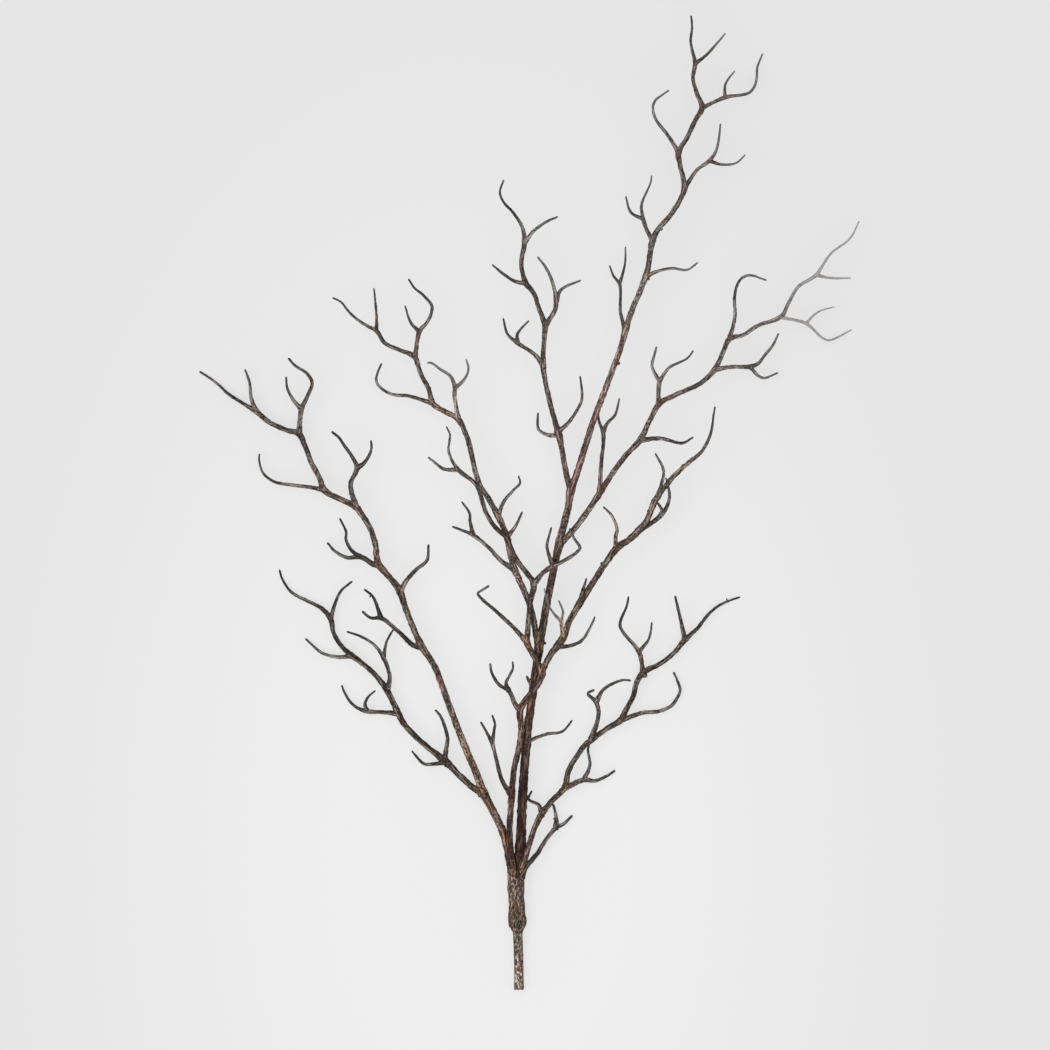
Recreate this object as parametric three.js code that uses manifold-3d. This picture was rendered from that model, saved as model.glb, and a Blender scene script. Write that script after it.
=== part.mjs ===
import * as THREE from 'three';
import { mergeVertices } from 'three/addons/utils/BufferGeometryUtils.js';
import Module from 'manifold-3d';

const wasm = await Module();
wasm.setup();

// Driving dimensions, in millimetres. The branch lies along +Y with its cut end towards -Y.
const stemDiameter = 9.5;
const stemLength = 57;
const stemLean = -1.8;          // sideways drift of the stem from its cut end to the collar
const stemMidLean = -0.3;       // the same drift half way
const collarLipDiameter = 18.2;
const collarLength = 63.5;
// Share of the lip's width at a height above the foot of the collar
const collarTaper = [[0.94, 15], [0.92, 44.5], [0.84, 63.5]];
const collarLipHeight = 7.5;    // from the foot of the collar to its widest ring
const collarLean = -2.1;        // sideways drift of the collar along its length
const twigDiameter = 4.1;       // at the foot of a twig
const forkDiameter = 3.5;       // at the foot of a twig's own fork
const tipDiameter = 1.7;
const footShare = 0.85;         // a foot is at most this share of the width of what it grows on
const pieceGap = 0.3;           // clear space between pieces that meet
const originX = 10.1;           // centre of the whole branch, measured from the cut end
const originY = 487.13;

// Facets
const limbSides = 6;
const twigSides = 5;
const slimBelow = 5.7;          // a limb that is thinner than this at its foot has a twig's sides
const samplesPerPoint = 20;     // curve samples from one route point to the next
const leastRing = 5.5;          // no two rings of a tube stand closer together than this
const leastBow = 0.48;          // a ring that bows out less than this from its neighbours is left out
const stemSides = 10;
const collarSides = 14;
const curveSamples = 400;
const endOverrun = 0.6;         // share of the clear space that a keep-out tube reaches past its ends

// The stem's cut end and the collar's lip both rest on the floor, so their common axis climbs.
const climb = (collarLipDiameter - stemDiameter) / 2 / (stemLength + collarLipHeight);
const axisHeight = (y) => stemDiameter / 2 + climb * y;

const barkMaterial = (color) => new THREE.MeshStandardMaterial({ color, roughness: 0.92, metalness: 0 });
const stemBark = barkMaterial(0x6f5c4b);
const collarBark = barkMaterial(0x665345);
const limbBark = barkMaterial(0x4c3d35);
const twigBark = barkMaterial(0x38332d);

// Limbs. A route lists [x, y] seen from above, from the foot to the tip. Heights and widths are spread
// evenly along the route. A limb that grows on another takes the height of its foot from that limb.
const limbs = {
  main_limb: {
    foot: 12.4,
    heights: [19, 25, 31, 36, 41, 45, 47, 46, 42, 40],
    widths: [10, 9.2, 8, 7.6, 7.2, 6.2, 5.8, 5.4, 4.8, 4.4, 1.9],
    route: [[0, 121.2], [2, 140], [3, 180], [5.3, 220], [8, 255], [12, 285], [16, 315], [20.5, 345], [24.5, 367],
      [28, 388], [33, 412], [37.5, 434], [43, 458], [49, 482], [52, 500], [58, 517], [66, 543], [74, 568],
      [83, 592], [92, 616], [101, 640], [106.5, 660], [113, 680], [122, 701], [129, 722], [132.5, 745],
      [138, 759], [151, 774], [161, 790], [165.5, 803], [161.5, 822], [159.5, 837], [168, 852], [177, 871],
      [183, 882], [178, 896], [174, 912], [176, 926], [172.5, 942], [171.5, 951], [173, 962], [172, 974.5]],
    sections: { lower: [20.5, 345], middle: [52, 500], upper: [133, 751], top: [183, 882], tip: null },
  },
  left_limb: {
    foot: 11.6,
    heights: [17, 20, 22, 23, 20, 12, 1],
    widths: [8, 7.4, 6.5, 6.1, 5.9, 5.4, 4.8, 1.9],
    route: [[-8, 121.2], [-12, 143], [-17, 160], [-25, 177], [-36, 198], [-42, 215], [-54, 243], [-67, 277],
      [-79, 310], [-84, 323], [-98, 345], [-111, 375], [-121, 402], [-136, 420], [-141, 427], [-144, 447],
      [-150, 464], [-159, 478], [-163, 483], [-177, 490], [-195, 500], [-199, 511], [-208, 528], [-214, 544],
      [-220, 556], [-234, 560.5], [-250, 568], [-262, 578], [-275, 586], [-290, 595.5], [-304, 608],
      [-320, 619]],
    sections: { lower: [-36, 198], middle: [-138, 424], upper: [-220, 556], tip: null },
  },
  inner_limb: {
    foot: 18.2,
    heights: [25, 32.5, 37, 38, 40, 46],
    widths: [6.6, 6, 6, 6.2, 6.4, 5.2, 1.8],
    route: [[-5.6, 121.2], [-7, 130], [-9, 145], [-9.5, 160], [-8, 185], [-5, 220], [-1, 238], [1.5, 252],
      [2, 265], [1, 280], [6, 289], [14, 299], [21, 310], [24, 321], [32, 336], [44, 352], [50, 368], [62, 389],
      [75, 409], [88, 429], [98, 442], [112, 452], [119, 459], [128, 470], [133, 482], [136, 489], [145, 502],
      [156, 515], [170, 528], [183, 539], [191.5, 556], [194.5, 575], [196, 583.5]],
    sections: { lower: [22.5, 316], middle: [119, 459], tip: null },
  },
  left_leader: {
    on: 'main_limb',
    heights: [29.5, 32, 35, 36, 30],
    widths: [6.2, 6, 5.2, 5, 4.2, 1.8],
    route: [[20, 340], [18, 350], [16, 361], [12, 381], [6.2, 397], [-3.4, 418], [-7.6, 430], [-12, 453], [-21, 474],
      [-29, 489], [-39, 505], [-44.5, 522], [-49, 543], [-52, 553], [-61, 571], [-73, 578], [-86, 586.5],
      [-90, 600], [-99, 618], [-104.5, 633], [-118, 639.5], [-134, 647], [-142.5, 659], [-156, 666.5],
      [-168, 676], [-178, 688], [-186.5, 692.5]],
    sections: { lower: [-5.4, 424], middle: [-61, 571], top: [-104.5, 633], tip: null },
  },
  crossing_limb: {
    on: 'inner_limb',
    heights: [38.5, 39.5, 43, 56],
    widths: [5.4, 5.4, 4.8, 4.2, 1.7],
    route: [[22.5, 316], [20, 325], [16, 332], [8, 348], [8.5, 356], [11, 385], [14.5, 407], [10, 414], [-2, 430],
      [-10, 447], [-13, 453], [-21, 459.8], [-29.2, 470.4], [-34, 480], [-41, 502], [-45, 508],
      [-61, 520.5], [-68, 532], [-70.5, 540], [-69.5, 549], [-69, 556], [-72.5, 563.5]],
    sections: { lower: [14.5, 407], upper: null },
  },
  low_left_limb: {
    on: 'left_limb',
    heights: [15, 12, 10, 7, 0.95],
    widths: [6.4, 5.8, 5.4, 4.8, 4.2, 1.8],
    route: [[-36, 197], [-44, 201], [-60, 215], [-74, 229], [-88, 240], [-104, 254], [-115, 266], [-122, 279],
      [-130, 296], [-137, 307], [-150, 321], [-166, 333.5], [-177, 343], [-185.5, 357], [-188.5, 371],
      [-198, 382], [-213, 389.5], [-228, 398], [-237, 411], [-239.8, 420.5]],
    sections: { inner: [-131, 300], outer: null },
  },
  right_limb: {
    foot: 17.6,
    heights: [15, 15, 12.5, 9, 0.95],
    widths: [5.6, 5.6, 5.2, 5.2, 4.4, 1.8],
    route: [[2.8, 121.2], [5, 127], [10, 145], [17, 165], [23.5, 177], [33, 189], [46, 203], [49, 217], [56, 231],
      [65, 243.5], [77, 253.5], [89, 262], [102, 270], [107, 280], [114, 293], [118, 308], [125, 318],
      [139, 325], [154, 336], [166, 350], [178, 361], [190, 376], [203, 386], [221.5, 393]],
    sections: { lower: [46, 203], middle: [101, 269.5], outer: null },
  },
  upper_right_limb: {
    on: 'main_limb',
    heights: [39, 38, 33, 30, 40],
    widths: [6, 5.4, 4.8, 4.3, 3.6, 1.7],
    route: [[40.5, 446], [49, 454], [60, 467], [73, 485], [82, 499], [95, 519], [108, 536], [121, 550],
      [130, 568], [141, 587], [152, 593], [170, 601], [182, 607], [196, 621], [204, 638], [210.5, 651],
      [224, 655], [239, 664.5], [262, 673.5], [270, 688], [279, 703], [297, 715], [307, 730], [313, 737.5],
      [329, 749.5], [334, 756], [340, 769]],
    sections: { lower: [141, 587], outer: [262, 673.5], tip: null },
  },
  centre_limb: {
    on: 'main_limb',
    heights: [42, 48, 54, 66],
    widths: [5.8, 5, 4.8, 4.3, 1.8],
    route: [[52, 500], [48, 513], [43.5, 537], [40, 555], [35, 572], [29.5, 594], [25, 616], [24, 630],
      [25.5, 654], [26, 664], [20.5, 680], [14.5, 697], [7, 706.5], [3, 720], [2.5, 730], [5.5, 747],
      [3.5, 762], [-5, 776], [-16, 788.5], [-19, 798], [-15, 810]],
    sections: { lower: [26, 664], top: null },
  },
};

// Single twigs, each joined to the length of limb that it grows on.
const shoots = [
  { on: 'main_limb', section: 'lower', tip: 34, route: [[7.5, 248], [28, 256], [43, 258.5], [53.5, 270]] },
  { on: 'main_limb', section: 'lower', tip: 29, route: [[14.5, 304], [9.5, 310], [7.5, 314.5]] },
  { on: 'main_limb', section: 'upper', tip: 60,
    route: [[126.5, 713], [138, 718.5], [153, 721.5], [168, 720], [179, 727.5]] },
  { on: 'main_limb', section: 'top', tip: 62,
    route: [[159.5, 837], [150, 853], [135.5, 873], [135, 887], [150, 899.5]] },
  { on: 'main_limb', section: 'tip', tip: 52, route: [[176, 926], [187, 934.5], [206.5, 956.5]] },
  { on: 'left_limb', section: 'middle', tip: 38,
    route: [[-119, 398], [-113, 409], [-102, 421], [-92, 430], [-90.5, 446]] },
  { on: 'left_limb', section: 'upper', tip: 9,
    route: [[-195, 500], [-207, 502.5], [-226, 505], [-244, 508], [-256, 517], [-260, 530], [-259.8, 536.5]] },
  { on: 'left_limb', section: 'tip', tip: 14, route: [[-262, 578], [-267.5, 590], [-270, 609], [-274.5, 621]] },
  { on: 'inner_limb', section: 'middle', tip: 22,
    route: [[38, 343.5], [50, 344], [62, 349], [71, 362], [76, 373.5]] },
  { on: 'inner_limb', section: 'middle', tip: 46, route: [[62, 389], [63, 396], [67.5, 412]] },
  { on: 'inner_limb', section: 'middle', tip: 54,
    route: [[97, 441], [96.5, 453], [98, 460], [93, 474], [84, 483.5]] },
  { on: 'inner_limb', section: 'tip', tip: 53, route: [[136, 489], [141.5, 503], [144.5, 519], [136, 537]] },
  { on: 'left_leader', section: 'middle', tip: 36, route: [[-12, 453], [-4, 463], [3.5, 478.5]] },
  { on: 'left_leader', section: 'middle', tip: 46,
    route: [[-21, 474], [-16, 487], [-6, 499.5], [1, 507], [-0.5, 514.5]] },
  { on: 'left_leader', section: 'top', tip: 12,
    route: [[-86, 586.5], [-110, 594], [-128, 596], [-140, 604], [-143, 611], [-137.5, 627]] },
  { on: 'left_leader', section: 'tip', tip: 46, route: [[-142.5, 659], [-142.5, 674], [-145, 702]] },
  { on: 'crossing_limb', section: 'lower', tip: 54,
    route: [[8, 348], [-4, 361], [-22, 378], [-37, 391], [-41, 396.5], [-36, 400.5], [-29.5, 404.5]] },
  { on: 'crossing_limb', section: 'upper', tip: 40, route: [[-61, 520.5], [-75, 521], [-86, 529], [-91, 533]] },
  { on: 'low_left_limb', section: 'inner', tip: 32,
    route: [[-74.5, 229.5], [-73, 241], [-71.5, 252], [-78, 273], [-84, 280.5]] },
  { on: 'low_left_limb', section: 'inner', tip: 6,
    route: [[-73, 228], [-84, 226], [-95, 226], [-104, 235], [-107.5, 239]] },
  { on: 'low_left_limb', section: 'outer', tip: 3,
    route: [[-166.5, 334], [-182, 333], [-197, 337], [-209, 347], [-214, 351.5]] },
  { on: 'low_left_limb', section: 'outer', tip: 22,
    route: [[-188.5, 371], [-184.5, 385], [-178, 399], [-166.5, 409]] },
  { on: 'right_limb', section: 'lower', tip: 27, route: [[23, 176.5], [19.5, 185], [9.5, 191], [13, 199.5]] },
  { on: 'right_limb', section: 'outer', tip: 5,
    route: [[102, 270], [124, 277], [140, 278.6], [152.4, 284.2], [159.3, 293.6], [161.3, 300],
      [159, 308], [154.5, 318]] },
  { on: 'right_limb', section: 'outer', tip: 24, route: [[166, 350], [161, 373], [156, 394.5]] },
  { on: 'upper_right_limb', section: 'lower', tip: 26,
    route: [[121, 550], [142, 551.5], [163, 547], [174.5, 553]] },
  { on: 'upper_right_limb', section: 'outer', tip: 54,
    route: [[210.5, 651], [216, 674], [215.5, 694], [221, 710], [230, 714.5], [247.5, 709.5]] },
  { on: 'upper_right_limb', section: 'tip', tip: 20, route: [[297, 715], [312, 712], [332, 712]] },
  { on: 'centre_limb', section: 'lower', tip: 32,
    route: [[40, 555], [29, 555], [20, 560], [18.7, 566], [19, 577.5]] },
  { on: 'centre_limb', section: 'lower', tip: 60,
    route: [[39.5, 558], [50, 568], [62, 588], [63, 596], [61, 614]] },
  { on: 'centre_limb', section: 'top', tip: 42, route: [[7, 706.5], [-5, 709], [-17, 717], [-27, 725.5]] },
  { on: 'centre_limb', section: 'top', tip: 78, route: [[5.5, 747], [14, 758], [27, 767.5], [39, 773]] },
];

// Forked twigs, each a piece of its own.
const sprays = {
  main_spray_1: { on: 'main_limb', tip: 24,
    route: [[106, 659], [101.5, 678], [100.5, 706], [94.5, 714], [90.5, 725]],
    fork: { tip: 30, route: [[100.5, 706], [106, 726], [106.5, 743.5]] } },
  main_spray_2: { on: 'main_limb', tip: 66,
    route: [[133, 750], [126, 764], [124, 770], [112, 777], [106.5, 793.5]],
    fork: { tip: 70, route: [[124, 770], [122.5, 785], [131.5, 807], [132.5, 814.5]] } },
  main_spray_3: { on: 'main_limb', tip: 28,
    route: [[165.5, 802], [178, 820], [190, 829], [197, 839], [199.6, 849.5], [201.5, 866.5]],
    fork: { tip: 22, route: [[190, 829], [203, 825.5], [217, 827], [226.5, 835.5]] } },
  main_spray_4: { on: 'main_limb', tip: 0.9,
    route: [[183, 882], [206, 892.5], [231, 898], [237.2, 908.6], [238.6, 923], [244, 937]],
    fork: { tip: 26, route: [[206, 892.5], [206.5, 906], [216, 919.5]] } },
  left_spray_1: { on: 'left_limb', tip: 36,
    route: [[-97, 343], [-106, 345], [-119, 357], [-138, 372], [-148, 372], [-157, 379]],
    fork: { tip: 24, route: [[-138, 372], [-140, 378], [-146, 393], [-155, 401]] } },
  left_spray_2: { on: 'left_limb', tip: 10,
    route: [[-138, 424], [-146, 426], [-158, 433], [-172, 432.5], [-183, 438], [-192, 447.5]],
    fork: { tip: 24, route: [[-158, 433], [-166, 438], [-173, 450], [-173, 458], [-179.5, 472]] } },
  left_spray_3: { on: 'left_limb', tip: 46,
    route: [[-163, 483], [-168, 500], [-168, 508], [-162, 522], [-168, 535], [-175, 545], [-180.6, 553],
      [-187.5, 558.5]],
    fork: { tip: 42, route: [[-162, 522], [-154, 528], [-147.5, 541], [-148, 550]] } },
  left_spray_4: { on: 'left_limb', tip: 40,
    route: [[-220, 556], [-219.5, 566], [-217.5, 581], [-212, 593], [-207, 607], [-212, 616.5], [-224, 624.5],
      [-230.8, 632]],
    fork: { tip: 34, route: [[-217.5, 581], [-225, 589], [-231.5, 601], [-233, 613.5]] } },
  low_left_spray_1: { on: 'low_left_limb', tip: 3,
    route: [[-121, 276.5], [-134, 277.5], [-156, 279.5], [-167, 286], [-175, 298], [-177.5, 305]],
    fork: { tip: 16, route: [[-152, 279.2], [-154, 286], [-151, 293], [-143.5, 299.5]] } },
  low_left_spray_2: { on: 'low_left_limb', tip: 26,
    route: [[-131.5, 301], [-129.5, 314], [-135.5, 332], [-145.2, 345.4], [-159, 353.8], [-172.5, 358.5]],
    fork: { tip: 13, route: [[-135.5, 332], [-132.5, 348], [-125.5, 361]] } },
  inner_spray_1: { on: 'inner_limb', tip: 42,
    route: [[-8, 195], [-17, 210], [-22.5, 230], [-27, 247], [-33, 259], [-38.5, 268.5]],
    fork: { tip: 50, route: [[-27, 247], [-24.5, 262], [-24, 266], [-27, 275.5]] } },
  inner_spray_2: { on: 'inner_limb', tip: 44,
    route: [[1, 280], [-4, 286], [-10, 299], [-20, 305.5], [-27.5, 318], [-28.8, 327]],
    fork: { tip: 54, route: [[-10, 299], [-13, 307], [-10, 313.5], [-6, 322], [-6.5, 329]] } },
  inner_spray_3: { on: 'inner_limb', tip: 56,
    route: [[44, 352], [42.5, 368], [44, 378], [39.5, 390]],
    fork: { tip: 50, route: [[42.5, 368], [31, 382], [25, 402]] } },
  inner_spray_4: { on: 'inner_limb', tip: 24,
    route: [[119, 459], [134, 468], [146, 480], [150.5, 494], [147, 512.5]],
    fork: { tip: 26, route: [[142, 475], [143, 480], [137.5, 488.5]] } },
  crossing_spray: { on: 'crossing_limb', tip: 52,
    route: [[14, 405], [24, 417], [34, 424], [48, 431], [58, 438], [61, 442], [55, 452], [50.5, 462]],
    fork: { tip: 60, route: [[34, 424], [29, 438], [28, 445], [32.5, 463]] } },
  leader_spray_1: { on: 'left_leader', tip: 14,
    route: [[-4.3, 420], [-17, 428.5], [-31, 443], [-46, 455], [-60, 461], [-67, 463.5]],
    fork: { tip: 26, route: [[-46, 455], [-49, 469], [-49.5, 477], [-57.5, 488.5]] } },
  leader_spray_2: { on: 'left_leader', tip: 58,
    route: [[-60.5, 570], [-64.5, 595], [-64, 602], [-68, 613], [-79, 621], [-88, 627], [-92, 627]],
    fork: { tip: 62, route: [[-64, 602], [-55, 610], [-50.5, 621], [-53, 631]] } },
  leader_spray_3: { on: 'left_leader', tip: 62,
    route: [[-104, 632], [-99.5, 658], [-91, 669], [-86.8, 683], [-95, 694], [-104.4, 701.8], [-110.5, 711]],
    fork: { tip: 52, route: [[-99.5, 658], [-108, 667], [-114, 684.5]] } },
  low_right_twig: { on: 'collar', foot: 17, tip: 4,
    route: [[1.5, 114], [6, 123], [18, 136], [27, 150], [37, 162], [45, 166], [53.5, 174.5]],
    fork: { tip: 6, route: [[37, 162], [37, 174], [34, 186]] } },
  right_spray_1: { on: 'right_limb', tip: 8,
    route: [[46, 202], [65, 210], [76, 209], [88, 214], [96.5, 219.5]],
    fork: { tip: 5, route: [[65, 210], [71, 225], [69, 240], [70.5, 246]] } },
  right_spray_2: { on: 'right_limb', tip: 40,
    route: [[72, 249.5], [79.5, 275], [77, 288], [69, 296.5], [75.5, 300.5]],
    fork: { tip: 34, route: [[77, 288], [85, 301], [103, 309.8], [112, 309.5]] } },
  right_spray_3: { on: 'right_limb', tip: 38,
    route: [[124.5, 317], [120, 338], [104, 358], [101, 366], [108, 385], [109.5, 394]],
    fork: { tip: 30, route: [[120, 338], [130, 351.5], [133, 368]] } },
  upper_right_spray_1: { on: 'upper_right_limb', tip: 31,
    route: [[81, 498], [82, 525], [84.5, 550], [84, 558], [80, 569], [78, 581]],
    fork: { tip: 40, route: [[84, 558], [88.5, 567], [96, 575], [100.5, 592]] } },
  upper_right_spray_2: { on: 'upper_right_limb', tip: 60,
    route: [[139.5, 585], [139.5, 602], [140, 608], [135, 618], [133, 624], [137.5, 643.5]],
    fork: { tip: 54, route: [[140, 608], [150, 622], [168, 631.5], [174.5, 639.5]] } },
  upper_right_spray_3: { on: 'upper_right_limb', tip: 16,
    route: [[196, 620.5], [211, 623], [231, 623.5], [239.4, 626.6], [245.4, 634.2], [254.6, 646], [259.8, 657]],
    fork: { tip: 8, route: [[231, 623.5], [239, 614.5], [245, 612], [259.5, 617.5]] } },
  upper_right_spray_4: { on: 'upper_right_limb', tip: 0.9,
    route: [[261, 673], [287, 666.5], [304, 652], [311, 650], [333, 660.5]],
    fork: { tip: 16, route: [[287, 666.5], [299, 678], [316, 683.5]] } },
  centre_spray_1: { on: 'centre_limb', tip: 34,
    route: [[24, 625], [15, 636], [-1.5, 647], [-11.5, 656], [-15.8, 672]],
    fork: { tip: 54, route: [[-1.5, 647], [-1.5, 656], [10, 669.5]] } },
  centre_spray_2: { on: 'centre_limb', tip: 76,
    route: [[26, 664], [36, 680], [37, 688], [34.5, 704], [28, 720], [18.5, 733]],
    fork: { tip: 62, route: [[37, 688], [42, 700], [62, 709.5]] } },
};

// Value at a share of the way along a list of evenly spread values.
function spread(values, share) {
  const place = THREE.MathUtils.clamp(share, 0, 1) * (values.length - 1);
  const before = Math.min(Math.floor(place), values.length - 2);
  return THREE.MathUtils.lerp(values[before], values[before + 1], place - before);
}

// Smooth curve over a flat route, lifted to the heights.
function lift(route, heights) {
  const flat = route.map(([x, y]) => new THREE.Vector3(x, y, 0));
  const walked = [0];
  flat.slice(1).forEach((point, i) => walked.push(walked[i] + point.distanceTo(flat[i])));
  const total = walked[walked.length - 1];
  flat.forEach((point, i) => point.setZ(spread(heights, walked[i] / total)));
  const curve = new THREE.CatmullRomCurve3(flat, false, 'centripetal');
  curve.arcLengthDivisions = (route.length - 1) * samplesPerPoint;
  return curve;
}

// Shares of a curve's length at which a tube has its rings: both ends, and the route points where it bends.
function ringShares(curve, first, last) {
  const lengths = curve.getLengths();
  const total = lengths[lengths.length - 1];
  const margin = leastRing / total;
  const shares = [first];
  for (let i = samplesPerPoint; i < lengths.length; i += samplesPerPoint) {
    const share = lengths[i] / total;
    const before = shares[shares.length - 1];
    const after = Math.min(last, (lengths[i + samplesPerPoint] ?? total) / total);
    const chord = new THREE.Line3(curve.getPointAt(before), curve.getPointAt(after));
    const point = curve.getPointAt(share);
    const bow = chord.closestPointToPoint(point, true, new THREE.Vector3()).distanceTo(point);
    if (share > before + margin && share < last - margin && bow > leastBow) shares.push(share);
  }
  return [...shares, last];
}

// Share of a curve's length at which it passes closest to [x, y], seen from above.
function shareNear(curve, [x, y]) {
  let best = 0;
  let nearest = Infinity;
  for (let i = 0; i <= curveSamples; i += 1) {
    const point = curve.getPointAt(i / curveSamples);
    const distance = Math.hypot(point.x - x, point.y - y);
    if (distance < nearest) {
      nearest = distance;
      best = i / curveSamples;
    }
  }
  return best;
}

const heightNear = (curve, place) => curve.getPointAt(shareNear(curve, place)).z;

const solidOf = (geometry) => new wasm.Manifold(new wasm.Mesh({
  numProp: 3,
  vertProperties: new Float32Array(geometry.attributes.position.array),
  triVerts: new Uint32Array(geometry.index.array),
}));

function welded(geometry) {
  geometry.deleteAttribute('normal');
  geometry.deleteAttribute('uv');
  return mergeVertices(geometry);
}

// A unit cylinder bent along the curve from one share of its length to another, tapered by the widths.
function bentTube({ curve, widths, sides, start = 0, end = 1 }, extra = 0) {
  const overrun = endOverrun * extra / curve.getLength();
  const shares = ringShares(curve, Math.max(0, start - overrun), Math.min(1, end + overrun));
  const rings = shares.length - 1;
  const geometry = welded(new THREE.CylinderGeometry(1, 1, 1, sides, rings));
  const { position } = geometry.attributes;
  const vertical = new THREE.Vector3(0, 0, 1);
  for (let i = 0; i < position.count; i += 1) {
    const share = shares[Math.round((position.getY(i) + 0.5) * rings)];
    const tangent = curve.getTangentAt(share);
    const across = new THREE.Vector3().crossVectors(tangent, vertical).normalize();
    const upward = new THREE.Vector3().crossVectors(across, tangent);
    const radius = spread(widths, share) / 2 + extra;
    const point = curve.getPointAt(share)
      .addScaledVector(across, position.getX(i) * radius)
      .addScaledVector(upward, position.getZ(i) * radius);
    position.setXYZ(i, point.x, point.y, point.z);
  }
  return solidOf(geometry);
}

const join = (solids) => solids.reduce((all, solid) => all.add(solid));

const branch = new THREE.Group();
branch.position.set(-originX, -originY, 0);
const built = [];

// Adds a piece, cut clear of the pieces already built that it meets.
function addPiece(name, shape, material) {
  let solid = shape(0);
  const box = solid.boundingBox();
  const meets = (other) => [0, 1, 2].every((axis) => box.min[axis] < other.max[axis] + pieceGap
    && box.max[axis] > other.min[axis] - pieceGap);
  for (const earlier of built) {
    if (meets(earlier.box)) solid = solid.subtract(earlier.shape(pieceGap));
  }
  built.push({ shape, box });
  const { vertProperties, triVerts } = solid.getMesh();
  const geometry = new THREE.BufferGeometry();
  geometry.setAttribute('position', new THREE.BufferAttribute(vertProperties, 3));
  geometry.setIndex(new THREE.BufferAttribute(triVerts, 1));
  geometry.computeVertexNormals();
  const mesh = new THREE.Mesh(geometry, material);
  mesh.name = name;
  branch.add(mesh);
}

function addStem() {
  const curve = lift([[0, 0], [stemMidLean, stemLength / 2], [stemLean, stemLength]],
    [axisHeight(0), axisHeight(stemLength)]);
  const tube = { curve, widths: [stemDiameter, stemDiameter], sides: stemSides };
  addPiece('stem', (extra) => bentTube(tube, extra), stemBark);
}

// The collar swells quickly from the stem to its lip, then narrows to the feet of the limbs.
function addCollar() {
  const lip = collarLipDiameter / 2;
  const profile = [[stemDiameter / 2, 0], [lip, collarLipHeight],
    ...collarTaper.map(([share, height]) => [lip * share, height])];
  addPiece('collar', (extra) => {
    const points = [new THREE.Vector2(0, -extra)];
    profile.forEach(([radius, height]) => points.push(new THREE.Vector2(radius + extra, height)));
    points.push(new THREE.Vector2(0, collarLength + extra));
    const geometry = welded(new THREE.LatheGeometry(points, collarSides));
    geometry.rotateX(Math.atan(climb));
    geometry.rotateZ(-Math.atan(collarLean / collarLength));
    const foot = stemLength + pieceGap;
    geometry.translate(stemLean, foot, axisHeight(foot));
    return solidOf(geometry);
  }, collarBark);
}

const curves = {};

// A twig that tapers from its foot to its tip, and is slimmer at the foot than what it grows on.
function twigTube(curve, diameter, parent, place) {
  const room = parent ? footShare * spread(parent.widths, shareNear(parent.curve, place)) : diameter;
  return { curve, widths: [Math.min(diameter, room), tipDiameter], sides: twigSides };
}

// Each limb in its lengths, with the single twigs of each length joined to it.
function addLimb(limbName) {
  const { on, foot, heights, widths, route, sections } = limbs[limbName];
  const curve = lift(route, [foot ?? heightNear(curves[on], route[0]), ...heights]);
  curves[limbName] = curve;
  const sides = widths[0] < slimBelow ? twigSides : limbSides;
  const gapShare = pieceGap / curve.getLength();
  let start = 0;
  for (const [section, place] of Object.entries(sections)) {
    const end = place ? shareNear(curve, place) : 1;
    const tubes = [{ curve, widths, sides, start, end }];
    for (const shoot of shoots) {
      if (shoot.on === limbName && shoot.section === section) {
        const shootCurve = lift(shoot.route, [heightNear(curve, shoot.route[0]), shoot.tip]);
        tubes.push(twigTube(shootCurve, twigDiameter, { curve, widths }, shoot.route[0]));
      }
    }
    const shape = (extra) => join(tubes.map((tube) => bentTube(tube, extra)));
    addPiece(`${limbName}_${section}`, shape, limbBark);
    start = end + gapShare;
  }
}

function addSpray(name, { on, foot, tip, route, fork }) {
  const stalk = lift(route, [foot ?? heightNear(curves[on], route[0]), tip]);
  const side = lift(fork.route, [heightNear(stalk, fork.route[0]), fork.tip]);
  const parent = limbs[on] && { curve: curves[on], widths: limbs[on].widths };
  const stalkTube = twigTube(stalk, twigDiameter, parent, route[0]);
  const tubes = [stalkTube, twigTube(side, forkDiameter, stalkTube, fork.route[0])];
  addPiece(name, (extra) => join(tubes.map((tube) => bentTube(tube, extra))), twigBark);
}

addStem();
addCollar();
Object.keys(limbs).forEach(addLimb);
Object.entries(sprays).forEach(([name, spray]) => addSpray(name, spray));

export default branch;
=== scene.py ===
import math

import bpy
import numpy as np
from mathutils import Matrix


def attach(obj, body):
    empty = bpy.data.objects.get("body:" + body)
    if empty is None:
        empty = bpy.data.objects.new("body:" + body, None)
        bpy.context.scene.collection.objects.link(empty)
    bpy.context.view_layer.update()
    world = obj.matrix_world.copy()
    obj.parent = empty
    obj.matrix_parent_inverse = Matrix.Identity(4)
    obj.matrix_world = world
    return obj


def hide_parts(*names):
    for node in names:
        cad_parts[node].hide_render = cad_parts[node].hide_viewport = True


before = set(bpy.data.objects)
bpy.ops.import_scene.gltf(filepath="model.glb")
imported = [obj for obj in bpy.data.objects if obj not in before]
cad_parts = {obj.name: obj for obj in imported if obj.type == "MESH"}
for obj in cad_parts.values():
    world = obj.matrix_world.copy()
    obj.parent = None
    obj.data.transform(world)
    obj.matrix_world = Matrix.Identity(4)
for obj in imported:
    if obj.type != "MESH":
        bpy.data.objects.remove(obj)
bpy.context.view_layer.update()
print("frame loaded:", len(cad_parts), "nodes")

# Routes are in millimetres: x from the axis of the cut end, y along the branch from the cut end.
place = {
    "originX": 10.1,
    "originY": 487.13,
    "metres": 0.001,
}

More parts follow.
